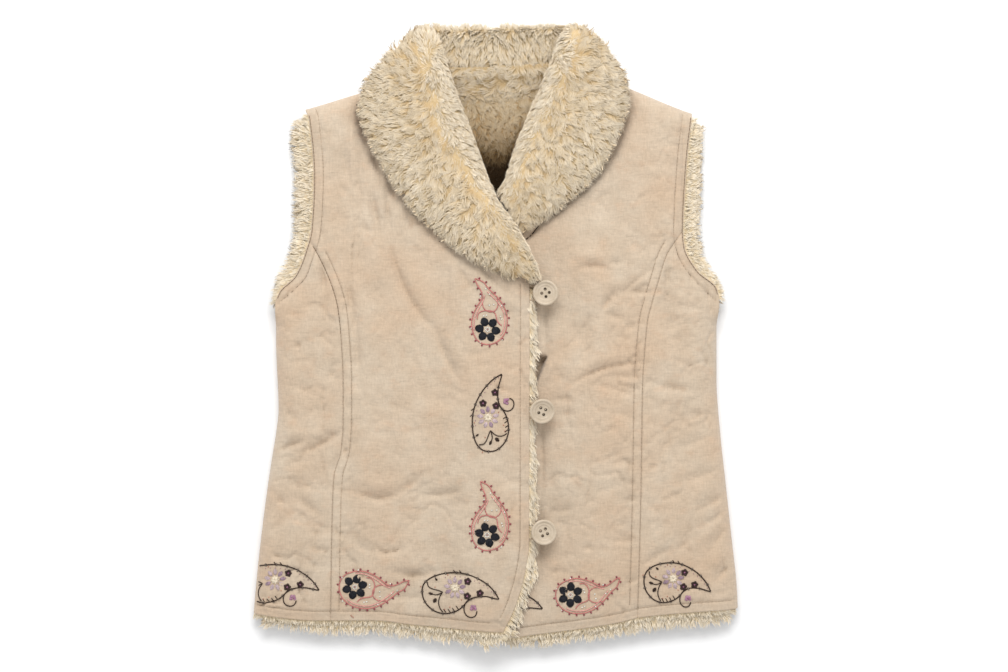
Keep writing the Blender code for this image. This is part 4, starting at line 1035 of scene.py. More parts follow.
def grow_strands(name, points, quads, normals, weight, combing, counts, seed, shape):
    """Locks and hairs of a ground, in clumps. weight is each face's share, and shape gives the measures."""
    rng = np.random.default_rng(seed)
    locks, hairs = counts
    count = locks + hairs
    measures = shape(points[quads].mean(axis=1), normals)
    weight = weight * measures["dense"]
    face = rng.choice(len(quads), size=count, p=weight / weight.sum())
    values = {key: value[face] for key, value in measures.items()}
    s, t = rng.random((count, 1)), rng.random((count, 1))
    a, b, c, d = (points[quads[face, k]] for k in range(4))
    root = a * ((1 - s) * (1 - t)) + b * (s * (1 - t)) + c * (s * t) + d * ((1 - s) * t)
    root[:, 2] -= values["sunk"]
    up = normals[face]
    # Clumps: each root takes the turn, height, wave and tone of its nearest clump centre.
    clumps = max(8, int(count / measures["tuft"].mean()))
    middle = root[rng.choice(count, size=clumps, replace=False)]
    nearest = KDTree(clumps)
    for i, at in enumerate(middle):
        nearest.insert(at, i)
    nearest.balance()
    clump = np.array([nearest.find(at)[1] for at in root])
    sway = rng.normal(0, 1, clumps)[clump]
    limits = ((0.6, 1.4), (0.8, 1.2), (0, 6.28), (4.5, 7.2), (-1, 1))
    wave, rise, phase, turns, tone = (rng.uniform(low, high, clumps)[clump] for low, high in limits)
    x, y = root[:, 0], root[:, 1]
    swirl = lattice_noise(x, y, 16, seed + 5) + 0.6 * lattice_noise(x, y, 8, seed + 6)
    turn = comb_at(combing, x, y) + np.radians(values["messy"]) * (swirl + 0.55 * sway)
    turn = turn + rng.normal(0, 0.1, count)
    flat = np.stack([np.cos(turn), np.sin(turn), np.zeros(count)], axis=1)
    # On a face that stands, the comb follows the surface and leans out and down.
    way = flat - up * (flat * up).sum(1, keepdims=True)
    way[np.linalg.norm(way, axis=1) < 0.25] += np.array([0, 0, -0.3])
    way = unit(way - up * (way * up).sum(1, keepdims=True))
    hair = np.arange(count) >= locks
    centre = np.stack([np.bincount(clump, root[:, k], clumps) for k in range(3)], axis=1)
    centre /= np.maximum(np.bincount(clump, minlength=clumps), 1)[:, None]
    pale = values["pale"] + 0.32 + 0.12 * tone + rng.normal(0, 0.12, count) + 0.1 * hair
    light = values["light"] * (0.9 + 0.04 * tone + rng.normal(0, 0.03, count))
    strands = {
        "root": root, "way": way, "up": up, "lean": values["lean"],
        "length": values["length"] * rng.uniform(0.75, 1.15, count) * np.where(hair, 1.05, 1.0),
        "width": values["width"] * rng.uniform(0.75, 1.2, count) * np.where(hair, 0.44, 1.0),
        "rise": values["rise"] * rise * rng.uniform(0.86, 1.12, count) * np.where(hair, 1.18, 1.0),
        "wave": values["wave"] * wave * rng.uniform(0.8, 1.2, count),
        "phase": phase + rng.normal(0, 0.3, count), "turns": turns,
        "pull": (centre[clump] - root) * (values["gather"] * rng.uniform(0.6, 1.1, count))[:, None],
        "tones": np.clip(np.stack([pale, light], axis=1), 0, 1),
    }
    for kind, chosen in (("locks", ~hair), ("hairs", hair)):
        part = {key: value[chosen] for key, value in strands.items()}
        strand_mesh(f"{name}_{kind}", part, *STRAND_FORMS[kind])


def grow_pile(name, *pile):
    """A pile node's ground, and the locks on what of it is open."""
    voxel, depth = (3.0, 2.0) if name.endswith("lining") else (2.6, 2.2)
    grow_strands(name, *grown_ground(name, voxel, depth), *pile)


def grow_strip(name, points, quads, finish, *pile, widest=np.inf):
    """A narrow ground of its own with its pile, which ends at a distance from the middle of the garment."""
    new_mesh(name + "_ground", points, quads, finish)
    _, centres, normals, areas = surface_facts(points, quads)
    grow_strands(name, points, quads, normals, areas * (np.abs(centres[:, 0]) < widest), *pile)


# The ridge where the stand is sewn to the lining: how far up from the back's top edge, and how high.
NECK_SEAM = table(
    "up high", (-27, 4.5), (-22, 7), (-17, 9.2), (-12, 11.2), (-7, 12.8), (-3, 14.4), (0, 16.2), (3, 17.8),
    (6, 19), (9, 19.6), (12, 20.2),
)


def grow_neck_seam():
    """The ridge of pile where the stand is sewn to the lining, behind the neck."""
    x, up = np.meshgrid(np.linspace(-80, 80, 54), NECK_SEAM["up"])
    y = shoulder(x) + up + 0.8 * lattice_noise(x, x * 0, 14, 90)
    z = NECK_SEAM["high"][:, None] + 0.7 * lattice_noise(x, y, 11, 91)
    points = np.stack([x, y, z], axis=-1).reshape(-1, 3)
    quads = grid_quads(x.shape[0] - 1, x.shape[1] - 1)
    grow_strip("neck_seam", points, quads, PILE_GROUND, NECK_COMB, (950, 1900), 67, seam_ridge, widest=66)


# The fringe's ground beside an edge: how far out of the cloth's edge it stands, and how far below its face.
FRINGE_OUT = (-1.6, -0.2, 1.8, 3.8)
FRINGE_DROP = (2.0, 2.2, 3.0, 5.2)


def grow_fringe(name, path, face, combing, counts, seed, shape):
    """Pile that shows past an edge of the cloth. The path runs with the cloth on its left."""
    out = -sideways(path)
    height = face(*(path - 2 * out).T)
    wander = 0.5 * lattice_noise(*path.T, 9, seed)
    rows = [np.column_stack([path + out * (away + wander * (away > 0))[:, None], height - drop])
            for away, drop in zip(FRINGE_OUT, FRINGE_DROP)]
    quads = grid_quads(len(rows) - 1, len(path) - 1)[:, ::-1]
    grow_strip(name, np.concatenate(rows), quads, RIM_GROUND, combing, counts, seed, shape)


def filled(count, **values):
    """Measures for every face, from plain numbers or arrays, and what most pile has of the others."""
    values = {"sunk": 0.0, "light": 1.0, "dense": 1.0, "lean": 1.0, **values}
    return {name: np.broadcast_to(np.asarray(value, float), count).copy() for name, value in values.items()}


def even_pile(**values):
    return lambda at, normals: filled(len(at), **values)


edge_fringe = even_pile(
    light=1.1, length=6.8, width=1.3, rise=0.8, wave=0.9, messy=20, gather=0.15, pale=0.7, tuft=9
)
front_fringe = even_pile(
    light=1.08, length=10, width=1.35, rise=0.9, wave=1.1, messy=16, gather=0.3, pale=0.7, tuft=11
)
stand_fringe = even_pile(
    light=1.02, length=6.6, width=1.2, rise=1.6, wave=0.8, messy=30, gather=0.4, pale=0.6, tuft=9
)

right_parting = x_at(table(
    "y x", (60, 38), (84, 28), (103, 16), (128, -3), (153, -21), (181, -37), (218, -57), (242, -61),
    (258, -66), (300, -80),
))
left_parting = x_at(table(
    "y x", (118, 6), (158, 24), (180, 32), (205, 42), (229, 55), (243, 62), (267, 71), (303, 82)
))
PARTING_DEPTH = 2.6


def wing(away, normals):
    """A wing's pile: a combed band on the roll, a parting, messy tufts, and long combed locks to the edge.

    away is each place's distance from the parting, under 0 on the roll."""
    band = smoothstep(0.5 - away / 9)
    outer = smoothstep((away - 24) / 18)
    steep = smoothstep((0.75 - normals[:, 2]) / 0.5)
    return filled(
        len(away), lean=0.97, tuft=26,
        length=11.5 - 4.2 * band - 0.9 * outer,
        width=1.75 - 0.6 * band,
        rise=2.1 + 1.3 * band * steep - 0.5 * outer * steep,
        wave=2.3 - 1.5 * band - 0.4 * outer,
        messy=36 - 22 * band - 22 * outer,
        gather=0.62 - 0.25 * band - 0.25 * outer,
        pale=-0.1 + 0.52 * band + 0.24 * outer,
        dense=1 + 0.7 * band,
        # The 0.2 * steep term is painted light: the wing's steep faces are made paler against their shading.
        light=1 + 0.08 * band + 0.2 * steep,
        sunk=PARTING_DEPTH * dip(away, 2.8) * (normals[:, 2] > 0.3),
    )


def right_wing(at, normals):
    return wing(right_parting(at[:, 1]) - at[:, 0], normals)


def left_wing(at, normals):
    return wing(at[:, 0] - left_parting(at[:, 1]), normals)


# Painted shade in the neck: the pile's light value, falling towards the V between the fronts.
NECK_PAINTED_SHADE = table(
    "y light", (145, -0.1), (166, -0.1), (180, 0.1), (195, 0.36), (212, 0.56), (229, 0.70), (246, 0.83),
    (262, 0.9), (300, 0.9),
)


def neck_painted_shade(at):
    """Painted shade on the neck's pile, darker the deeper it lies between the fronts and beside the wings."""
    x, y = at[:, 0], at[:, 1]
    beside = np.minimum(x - right_parting(y) - 15, left_parting(y) - 13 - x)
    return np.interp(y, NECK_PAINTED_SHADE["y"], NECK_PAINTED_SHADE["light"]) - 0.2 * smoothstep((14 - beside) / 14)


def armhole_length(at):
    """Strands of the rims are shorter at the left armhole."""
    return 9.5 - 2.6 * (at[:, 0] > 150) * smoothstep((at[:, 1] - 40) / 20)


def neck_band(at, normals):
    return filled(
        len(at), light=neck_painted_shade(at) * 1.08, dense=np.where(np.abs(at[:, 0]) < 80, 1.0, 0.25),
        length=10.5 + 3.5 * smoothstep((272 - at[:, 1]) / 10), width=1.8, rise=2.3, wave=1.2, messy=18,
        gather=0.5, pale=0.0, tuft=20,
    )


def neck_and_rims(at, normals):
    neck = (np.abs(at[:, 0]) < 90) & (at[:, 1] > 60)
    return filled(
        len(at), light=np.where(neck, neck_painted_shade(at), 1.1), dense=np.where(neck, 2.2, 1.0),
        length=np.where(neck, 8.5, armhole_length(at)), width=1.6, rise=np.where(neck, 1.9, 0.8), wave=1.5,
        messy=np.where(neck, 42, 20), gather=np.where(neck, 0.5, 0.15), pale=np.where(neck, -0.32, 0.65),
        tuft=14,
    )


def seam_ridge(at, normals):
    return filled(len(at), light=neck_painted_shade(at) * 1.06, length=9.5, width=1.8, rise=2.2, wave=1.6, messy=60,
                  gather=0.5, pale=0.05, tuft=16)


def front_rims(at, normals):
    return filled(len(at), light=1.1, length=armhole_length(at), width=1.5, rise=0.8, wave=1.0, messy=18,
                  gather=0.15, pale=0.65, tuft=12)


# The colours of a lock at its root, middle and tip: where the pile is golden, and where it is pale.
# Each is darker at the root: partly the pile's own colour, partly painted shade between the clumps.
GOLD = ((0.1, (0.54, 0.365, 0.18)), (0.55, (0.615, 0.475, 0.295)), (0.95, (0.67, 0.555, 0.395)))
PALE = ((0.1, (0.62, 0.485, 0.295)), (0.55, (0.70, 0.59, 0.435)), (0.95, (0.775, 0.695, 0.57)))
# A lock's colour scaled by its light value; the dark end is the painted shade deep in the neck.
LOCK_SHADES = (
    (0.0, (0.04, 0.028, 0.018)), (0.2, (0.22, 0.18, 0.13)), (0.5, (0.66, 0.62, 0.57)), (0.85, 0.97),
    (0.94, 1.06), (1.0, 1.22),
)


def locks_finish():
    made, tree, skin = finish_of("pile_locks", 0.9, specular=0.1)
    lock = node(tree, "ShaderNodeAttribute", attribute_name="lock").outputs["Color"]
    share, pale, light = node(tree, "ShaderNodeSeparateColor", Color=lock).outputs
    base = mixed(tree, ramp(tree, share, *GOLD), ramp(tree, share, *PALE), pale)
    plug(tree, skin["Base Color"], mixed(tree, base, ramp(tree, light, *LOCK_SHADES), 1.0, "MULTIPLY"))
    return made


def ground_finish(name, low, high, painted_neck_shade):
    """The pile's ground, spotted from a low to a high colour, with painted shade in the neck where asked."""
    made, tree, skin = finish_of(name, 0.9, specular=0.1)
    at = object_place(tree)
    spots = noise(tree, at, 260, 4, 0.65)
    colour = ramp(tree, spots, (0.3, low), (0.7, high))
    if painted_neck_shade:
        x, y, _ = node(tree, "ShaderNodeSeparateXYZ", Vector=at).outputs
        narrow = sums(tree, sums(tree, x, 0.0, "ABSOLUTE"), 0.09, "LESS_THAN")
        within = sums(tree, narrow, sums(tree, y, 0.06, "GREATER_THAN"), "MULTIPLY")
        below = node(tree, "ShaderNodeMapRange", interpolation_type="SMOOTHSTEP", Value=y, From_Min=0.25,
                     From_Max=0.158).outputs["Result"]
        # Painted shade: golden at the neck's top, to near black at the V between the fronts.
        colour = mixed(tree, colour, mixed(tree, (0.52, 0.38, 0.21), (0.06, 0.04, 0.024), below), within)
    plug(tree, skin["Base Color"], colour)
    raise_bump(tree, skin, spots, 0.8, 0.002)
    return made


PILE_LOCKS = locks_finish()
PILE_GROUND = ground_finish("pile_ground", (0.56, 0.40, 0.21), (0.68, 0.52, 0.31), painted_neck_shade=False)
RIM_GROUND = ground_finish("rim_ground", (0.68, 0.57, 0.40), (0.76, 0.67, 0.51), painted_neck_shade=True)

# The top edge of the stand, which waves a little, and its comb.
STAND_STEPS = np.arange(42)
STAND_TOP = np.stack(
    [62 - 3.0 * STAND_STEPS, 306 + 0.9 * np.sin(0.5 * STAND_STEPS) + 0.7 * np.sin(1.3 * STAND_STEPS)], axis=1
)
STAND_COMB = table("x y turn", (-60, 308, 100), (-20, 308, 85), (20, 308, 95), (60, 308, 78), (0, 298, 270))


def stand_face(x, y):
    return np.full_like(x, 20.0)


grow_pile("collar_right", RIGHT_COMB, (4800, 11200), 61, right_wing)
grow_pile("collar_left", LEFT_COMB, (3900, 9400), 62, left_wing)
grow_pile("collar_back", NECK_COMB, (1400, 3600), 63, neck_band)
grow_neck_seam()
grow_pile("back_lining", BACK_RIM_COMB, (1900, 4600), 64, neck_and_rims)
grow_pile("right_front_lining", RIGHT_RIM_COMB, (900, 2400), 65, front_rims)
grow_pile("left_front_lining", LEFT_RIM_COMB, (800, 2000), 66, front_rims)
RIGHT_ARM = path_of_x(side_right, 34, 222)[::-1]
FRONT_EDGE_PATH = path_of_x(right_front_edge, -292, 50)
for name, path, face, *pile in (
    ("right_hem", path_of_y(right_hem, -240, 20), right_face, RIGHT_RIM_COMB, (260, 1100), 71, edge_fringe),
    ("left_hem", path_of_y(left_hem, 14, 243), left_face, LEFT_RIM_COMB, (230, 1000), 72, edge_fringe),
    ("front_edge", FRONT_EDGE_PATH, right_face, RIGHT_RIM_COMB, (520, 1700), 73, front_fringe),
    ("stand", STAND_TOP, stand_face, STAND_COMB, (170, 900), 76, stand_fringe),
    ("right_arm", RIGHT_ARM, right_face, RIGHT_RIM_COMB, (190, 700), 74, edge_fringe),
    ("left_arm", path_of_x(side_left, 38, 220), left_face, LEFT_RIM_COMB, (190, 700), 75, edge_fringe),
):
    grow_fringe(name + "_fringe", path, face, *pile)

# ---------------------------------------------------------------- thread: topstitching and embroidery


def plain_thread(name, colour, roughness=0.55, sheen=0.3):
    """A thread's finish: its colour, uneven along the strand, with the fine ribs of its twist."""
    made, tree, skin = finish_of(name, roughness, sheen)
    at = object_place(tree)
    dark = tuple(0.72 * c for c in colour)
    bright = tuple(min(1.0, 1.18 * c + 0.01) for c in colour)
    plug(tree, skin["Base Color"], ramp(tree, noise(tree, at, 420, 3, 0.6), (0.3, dark), (0.7, bright)))
    twist = node(tree, "ShaderNodeTexWave", bands_direction="DIAGONAL", Vector=at, Scale=900)
    raise_bump(tree, skin, twist.outputs["Fac"], 0.5, 0.0002)
    return made


# thread_shade is painted shade: a dark thread laid in seam valleys and along the armhole edges.
THREADS = {
    name.split("_")[name.startswith("thread")]: plain_thread(name, *look)
    for name, *look in (
        ("thread_rose", (0.56, 0.18, 0.155)), ("thread_coral", (0.77, 0.38, 0.32)),
        ("thread_wine", (0.27, 0.028, 0.04)), ("thread_navy", (0.008, 0.009, 0.014), 0.6, 0.0),
        ("thread_brown", (0.034, 0.016, 0.009), 0.6, 0.0), ("thread_olive", (0.20, 0.15, 0.11)),
        ("thread_lavender", (0.58, 0.45, 0.47)), ("thread_plum", (0.32, 0.10, 0.20)),
        ("thread_violet", (0.36, 0.24, 0.30)), ("thread_maroon", (0.040, 0.016, 0.014), 0.6, 0.05),
        ("thread_mauve", (0.45, 0.22, 0.33)), ("thread_shade", (0.22, 0.15, 0.095), 0.8, 0.0),
        ("thread_cream", (0.84, 0.73, 0.56)), ("thread_apricot", (0.50, 0.18, 0.10)),
        ("bead_white", (0.86, 0.83, 0.76), 0.25, 0.0), ("thread_shank", (0.012, 0.009, 0.007), 0.9, 0.0),
        ("thread_seam", (0.47, 0.355, 0.24), 0.8),
    )
}

# Where a stitch's three rings of points stand along it, and how wide they are there.
STITCH_FORM = ((0.16, 0.86), (0.5, 1.0), (0.84, 0.86))
STITCH_SUNK = 0.3


def stitch_mesh(name, start, end, radius, arch, finish):
    """Short rounded threads from start to end, with their ends in the cloth, all in one mesh."""
    run = end - start
    side = unit(np.stack([-run[:, 1], run[:, 0], np.zeros(len(run))], axis=1))
    up = np.cross(unit(run), side)
    up *= np.where(up[:, 2:3] < 0, -1, 1)
    radius, arch = radius[:, None], arch[:, None]
    rings = []
    for step, girth in STITCH_FORM:
        middle = start + run * step + up * (radius * 0.6 + arch * 4 * step * (1 - step))
        for c, s in map(heading, (0, 90, 180, 270)):
            rings.append(middle + side * radius * girth * c + up * radius * girth * s)
    low = up * STITCH_SUNK * radius
    points = np.stack([start - low, *rings, end - low], axis=1).reshape(-1, 3)
    piece = new_mesh(name, points, tube_faces(len(run), 4, len(STITCH_FORM), pointed=True), finish)
    shape = bmesh.new()
    shape.from_mesh(piece.data)
    bmesh.ops.recalc_face_normals(shape, faces=shape.faces)
    shape.to_mesh(piece.data)
    shape.free()
    piece.data.shade_smooth()


STEM_LONG, STEM_STEP, STEM_SLANT, STEM_LEAST = 3.1, 1.9, 0.22, 0.6


class Threads:
    """Stitches gathered by colour, to be laid on the cloth as one mesh a colour."""

    def __init__(self):
        self.rows = {}

    def add(self, colour, start, end, radius, arch=0.25):
        self.rows.setdefault(colour, []).append((start, end, radius, arch))

    def chain(self, colour, path, radius):
        """Stem stitches along a path, each starting beside the middle of the one before."""
        points = smooth_path(path, STEM_STEP / 4)
        reach = int(round(4 * STEM_LONG / STEM_STEP))
        for i in range(0, max(1, len(points) - reach // 2), 4):
            a, b = points[i], points[min(i + reach, len(points) - 1)]
            length = np.hypot(*(b - a))
            if length >= STEM_LEAST:
                aside = np.array([-(b - a)[1], (b - a)[0]]) / length * STEM_SLANT
                self.add(colour, a - aside, b + aside, radius)

    def knots(self, colour, places, size, turn):
        """Knots, each of two short stitches across each other."""
        for at in places:
            for angle in (turn, turn + 80):
                self.add(colour, at - size * heading(angle), at + size * heading(angle), 0.6 * size, 0.3)

    def petals(self, colour, centre, turns, near, far, wide, strands, radius, arch=0.55, waist=0.45,
               blunt=0.82):
        """Petals of satin stitches side by side, from the flower's middle outwards, rounded at the tip."""
        for turn in turns:
            along = heading(turn)
            across = np.array([-along[1], along[0]])
            for k in range(strands):
                s = -1 + 2 * (k + 0.5) / strands
                reach = math.sqrt(1 - blunt * s * s)
                hem = near + 0.35 * (1 - reach) * (far - near)
                start = centre + along * hem + across * s * wide * waist
                end = centre + along * (near + (far - near) * reach) + across * s * wide
                self.add(colour, start, end, radius, arch * reach)


class Place:
    """Turns a motif's points about its flower and puts them on the garment, each side as wide as is asked."""

    def __init__(self, x, y, turn, size=1.0, right=1.0, left=1.0):
        self.middle, self.turn, self.sides = np.array([x, y]), turn, (right, left)
        self.across = size * heading(turn)
        self.up = np.array([-self.across[1], self.across[0]])

    def __call__(self, points):
        given = np.array(points, float)
        given[:, 0] *= np.where(given[:, 0] > 0, *self.sides)
        return self.middle + given[:, :1] * self.across + given[:, 1:] * self.up

    def spot(self, x, y):
        return self(((x, y),))[0]


RED_OUTLINE = (
    (-10.4, 51.3), (-1.7, 47), (1.7, 41.7), (7.5, 35.4), (13.2, 28.8), (17.4, 21.2), (19.8, 12.9),
    (19.6, 5.4), (18, -1.6), (15, -7.2), (9.8, -12), (2.5, -14.8), (-5.8, -13.8), (-11.8, -8.8), (-15, -0.5),
    (-15.6, 8), (-13.3, 16.2), (-9.2, 23.8), (-5, 29.8), (-3.8, 34.8), (-5.8, 40.5), (-9.2, 46.2),
    (-10.4, 51.3),
)
RED_INNER = (
    (1.0, 38.0), (6.0, 32.6), (11.2, 26.6), (15.2, 19.8), (17.4, 12.6), (17.2, 5.6), (15.4, -1.4),
    (12.2, -6.2),
)
RED_INNER_LEFT = ((-13.2, -0.5), (-13.2, 8), (-11, 15.4), (-7, 22.6), (-3.0, 29.2), (-1.6, 34.6))
RED_SCROLLS = (
    ((-1.6, 33), (-4.2, 27), (-2.6, 20.8), (2.6, 17.2), (8.4, 18.6), (11.4, 24), (10.6, 31)),
    ((-10, 10.2), (-9.3, 15.2), (-5.8, 18.2), (1.6, 18.8), (7.4, 17), (8.9, 12.8), (10.2, 7.2), (14.2, 3)),
)
RED_BEADS = ((0, 40.4), (-5.6, 33.6), (3.4, 35.2), (13.2, 12.4), (14.0, 9.8), (-3.4, 13.8), (-0.6, 14.2),
             (14.4, -10.6), (-16.4, 2.1), (2.6, 24), (7.2, 24.6), (-8, -12.6), (15.0, 23.2))
BROWN_OUTLINE = (
    (13.8, 42.9), (7.1, 39.2), (1.3, 34.2), (-4.6, 27.5), (-8.8, 20.8), (-12.1, 14.2), (-14.2, 7.5),
    (-15.5, 0), (-15.6, -8.3), (-14.8, -16.7), (-12.5, -24.2), (-8.8, -30), (-3.8, -33.2), (2.9, -34),
    (8.8, -32.4), (14.6, -27.5), (18.3, -21.7), (20.3, -14.2), (20, -5.8), (17.9, 1.7), (15, 6.7),
    (12.1, 10.8), (10, 16.7), (9.6, 22.5), (10.4, 30.8), (12.5, 37.5), (13.8, 42.9),
)
BROWN_CURL = (
    (9.6, 18.3), (10.8, 12.5), (14.2, 7.9), (19.6, 6), (24.2, 8.3), (25.8, 13.3), (24.4, 17.4), (21, 19),
)
BROWN_STEMS = (
    ((2.5, -12.9), (0.4, -17.5), (-1.3, -22.5), (-4.6, -27), (-9.2, -27)),
    ((2.5, -12.9), (5.4, -16.3), (10.4, -18.8), (15.4, -18.2), (18.8, -15.8)),
    ((2.5, -12.9), (4.2, -19.2), (3.8, -22.5), (1.3, -27)),
)
BROWN_LASHES = ((19.8, -12.5), (20.2, -8), (19.6, -3.5), (18.2, 0.6), (-14.6, 3), (-13.6, 9))
BROWN_TICKS = ((-13.6, -5.4), (-2.9, -20), (16.7, -13.6), (15.4, -7.9), (10.4, 5), (-5.6, -34.6))


def red_paisley(place, threads):
    for path, colour, radius in (
        (RED_INNER, "coral", 0.6), (RED_INNER_LEFT, "coral", 0.6), (RED_OUTLINE, "rose", 0.62),
        (RED_SCROLLS[0], "rose", 0.52), (RED_SCROLLS[1], "rose", 0.55),
    ):
        threads.chain(colour, place(path), radius)
    outline = smooth_path(place(RED_OUTLINE), 1.0)
    left = sideways(outline)
    for i in range(4, len(outline) - 3, 7):
        turn = math.degrees(math.atan2(-left[i, 0], left[i, 1])) + 40
        threads.knots("wine", [outline[i] + 1.7 * left[i]], 1.2, turn)
        if i % 2:
            threads.add("coral", outline[i + 2], outline[i + 2] - 1.0 * left[i], 0.5)
    middle, turns = place.spot(0, 0), place.turn + 50 + 60 * np.arange(6)
    threads.petals("navy", middle, turns, 3.3, 13.4, 4.1, 12, 0.46, waist=0.72, blunt=0.66)
    for k in range(8):
        threads.knots("bead", [middle + 2.0 * heading(math.degrees(0.785 * k))], 0.8, 45 * k)
    threads.knots("plum", [middle], 0.7, 20)
    threads.knots("bead", place(RED_BEADS), 0.95, 30)


def brown_paisley(place, threads):
    threads.chain("brown", place(BROWN_OUTLINE), 0.62)
    threads.chain("brown", place(BROWN_CURL), 0.56)
    for stem in BROWN_STEMS:
        threads.chain("brown", place(stem), 0.5)
    turn = place.turn
    for x, y, lean, *form in (
        (6.6, -20.2, -40, 0.2, 6.0, 2.1, 5, 0.46), (3.4, -22.8, -112, 0.2, 5.4, 1.4, 4, 0.46),
        (-12.2, -19, 40, 0, 4.0, 1.0, 3, 0.42),
    ):
        threads.petals("brown", place.spot(x, y), [turn + lean], *form)
    for x, y in BROWN_LASHES:
        threads.chain("brown", place(((x, y), (x - 3.6, y - 2.2))), 0.42)
    outline = smooth_path(place(BROWN_OUTLINE), 1.0)
    left = sideways(outline)
    for i in range(8, len(outline) - 6, 11):
        at, across = outline[i], left[i]
        along = np.array([across[1], -across[0]])
        for aside in (1.1, -1.1):
            threads.add("olive", at + across * aside - along, at + across * aside + along, 0.5)
        threads.add("olive", at - across * 1.6, at + across * 1.6, 0.42, 0.5)
    for at in place(((6.8, 24.6), (-5, 13.9), (7.9, 11.4))):
        threads.petals("maroon", at, turn + 18 + 72 * np.arange(5), 0.5, 4.1, 1.9, 5, 0.46, 0.4)
        threads.knots("plum", [at], 1.0, 10)
    middle = place.spot(0, 0)
    for k in range(9):
        colour = "violet" if k in (2, 3, 7) else "lavender"
        threads.petals(colour, middle, [turn + 40 * k + 12], 4.4, 11.6, 2.3, 5, 0.44, 0.3)
    threads.petals("cream", middle, turn + 45 * np.arange(8), 0.0, 4.8, 1.2, 3, 0.46, 0.5)
    bud = place.spot(18.3, 15.8)
    threads.petals("mauve", bud, turn + 60 + 75 * np.arange(4), 0.3, 4.0, 1.9, 4, 0.45, 0.3)
    threads.knots("plum", [place.spot(18.5, 16.8)], 1.3, 15)
    threads.knots("plum", [place.spot(19.4, 14.6)], 1.0, 70)
    threads.knots("plum", smooth_path(place(BROWN_OUTLINE[1:9]), 5.0) + place.spot(3.2, 0) - middle, 0.5, 20)
    threads.knots("apricot", place(BROWN_TICKS), 0.72, 40)


def lay_threads(label, threads, face, keep):
    """One mesh for each colour, with each stitch's ends on the cloth."""
    for colour, rows in sorted(threads.rows.items()):
        start, end, radius, arch = (np.array(column) for column in zip(*rows))
        kept = keep(*start.T) & keep(*end.T)
        if kept.any():
            start, end = (np.column_stack([p, face(*p.T)]) for p in (start[kept], end[kept]))
            stitch_mesh(f"{label}_{colour}", start, end, radius[kept], arch[kept], THREADS[colour])


# Each motif's place, the turn of it, and where they aren't 1 its size and the widths of its two sides.
RIGHT_MOTIFS = (
    (red_paisley, -6.7, 7.4, 2.5), (red_paisley, -7.2, -196.5, -4.5, 1.03),
    (red_paisley, -139.5, -249.6, -94.6, 1.05), (brown_paisley, -6.3, -79.7, 0),
    (brown_paisley, -219.3, -242.6, -83.8, 1.0, 1.08), (brown_paisley, -39.4, -249.7, -82, 0.98, 1.24),
)
LEFT_MOTIFS = (
    (red_paisley, 75.9, -257.5, -82), (brown_paisley, 178.3, -241.2, -86, 0.86, 1.34, 1.2),
    (brown_paisley, 3.4, -266.5, -78.5),
)
FLECKS = np.array([(-142.5, -279.4), (-141.2, -280.2), (-143.4, -278.2)])


def embroider():
    for label, motifs, face, keep in (
        ("right_embroidery", RIGHT_MOTIFS, right_face, lambda x, y: x > side_right(y) + 1.0),
        ("left_embroidery", LEFT_MOTIFS, left_face, lambda x, y: x > 17.0),
    ):
        threads = Threads()
        for draw, *where in motifs:
            draw(Place(*where), threads)
        if label == "right_embroidery":
            threads.knots("apricot", FLECKS, 0.7, 30)
        lay_threads(label, threads, face, keep)


STITCH_LIFT, STITCH_ARCH = 0.4, 0.1
STITCH_RADIUS, SEAM_RADIUS = 0.34, 0.26
STITCH_STEP = 0.9  # a topstitch starts every fourth step, and is just over three steps long
# Painted shade: dark thread in the right seam's valley, in the underarm grooves and inside each armhole edge.
DARK_SEAM_ABOVE = 0.0  # the y over which the right front's seam is dark
RIGHT_DARK = (RIGHT_UNDERARM, offset_path(path_of_x(side_right, 38, 224), -0.8)[::-1])
LEFT_DARK = (LEFT_UNDERARM, offset_path(path_of_x(side_left, 40, 220), 0.8)[::-1])
LEFT_LINE_BY_WING = ((31, 97.5), (36, 101), (40, 106), (44.5, 111.5))


def topstitch():
    """Even stitches along the seams, hems and edges, set into their grooves, with dark threads at the
    armholes as painted shade.

    A thin thread lies in each front's seam as painted shade in its valley, dark on the upper part of the
    right one."""
    for label, paths, dark, seam, face in (
        ("right", RIGHT_STITCHES, RIGHT_DARK, path_of_x(princess_right, -276, 92), right_face),
        ("left", LEFT_STITCHES, LEFT_DARK, path_of_x(princess_left, -272, 100), left_face),
    ):
        threads = Threads()
        for shade, path in [("seam", path) for path in paths] + [("shade", path) for path in dark]:
            points = smooth_path(path, STITCH_STEP)
            for i in range(0, len(points) - 4, 4):
                end = points[i + 3] + 1.25 * (points[i + 4] - points[i + 3])
                threads.add(shade, points[i], end, STITCH_RADIUS, STITCH_ARCH)
        # Painted shade: a thread along the seam's valley, in the shade thread on the upper right front.
        valley = smooth_path(seam, STITCH_STEP)
        for start, end in zip(valley[:-4:4], valley[4::4]):
            dark_here = label == "right" and start[1] > DARK_SEAM_ABOVE
            threads.add("shade" if dark_here else "seam", start, end, SEAM_RADIUS, STITCH_ARCH)
        if label == "left":
            threads.chain("brown", LEFT_LINE_BY_WING, 0.4)
        lifted = lambda x, y: face(x, y) + STITCH_LIFT
        lay_threads(label + "_topstitch", threads, lifted, lambda x, y: x > -1e6)


embroider()
topstitch()

# ---------------------------------------------------------------- buttons and loops

BUTTON_PLACES = table(
    "x y base tilt_x tilt_y turn",
    (51, 44, 34.0, 2, -5, 6), (47, -73, 36.6, 14, 3, 24), (49, -194, 34.0, -2, 3, -22),
)
HOLE_RING = 3.75  # from a button's middle to the middle of each of its four holes


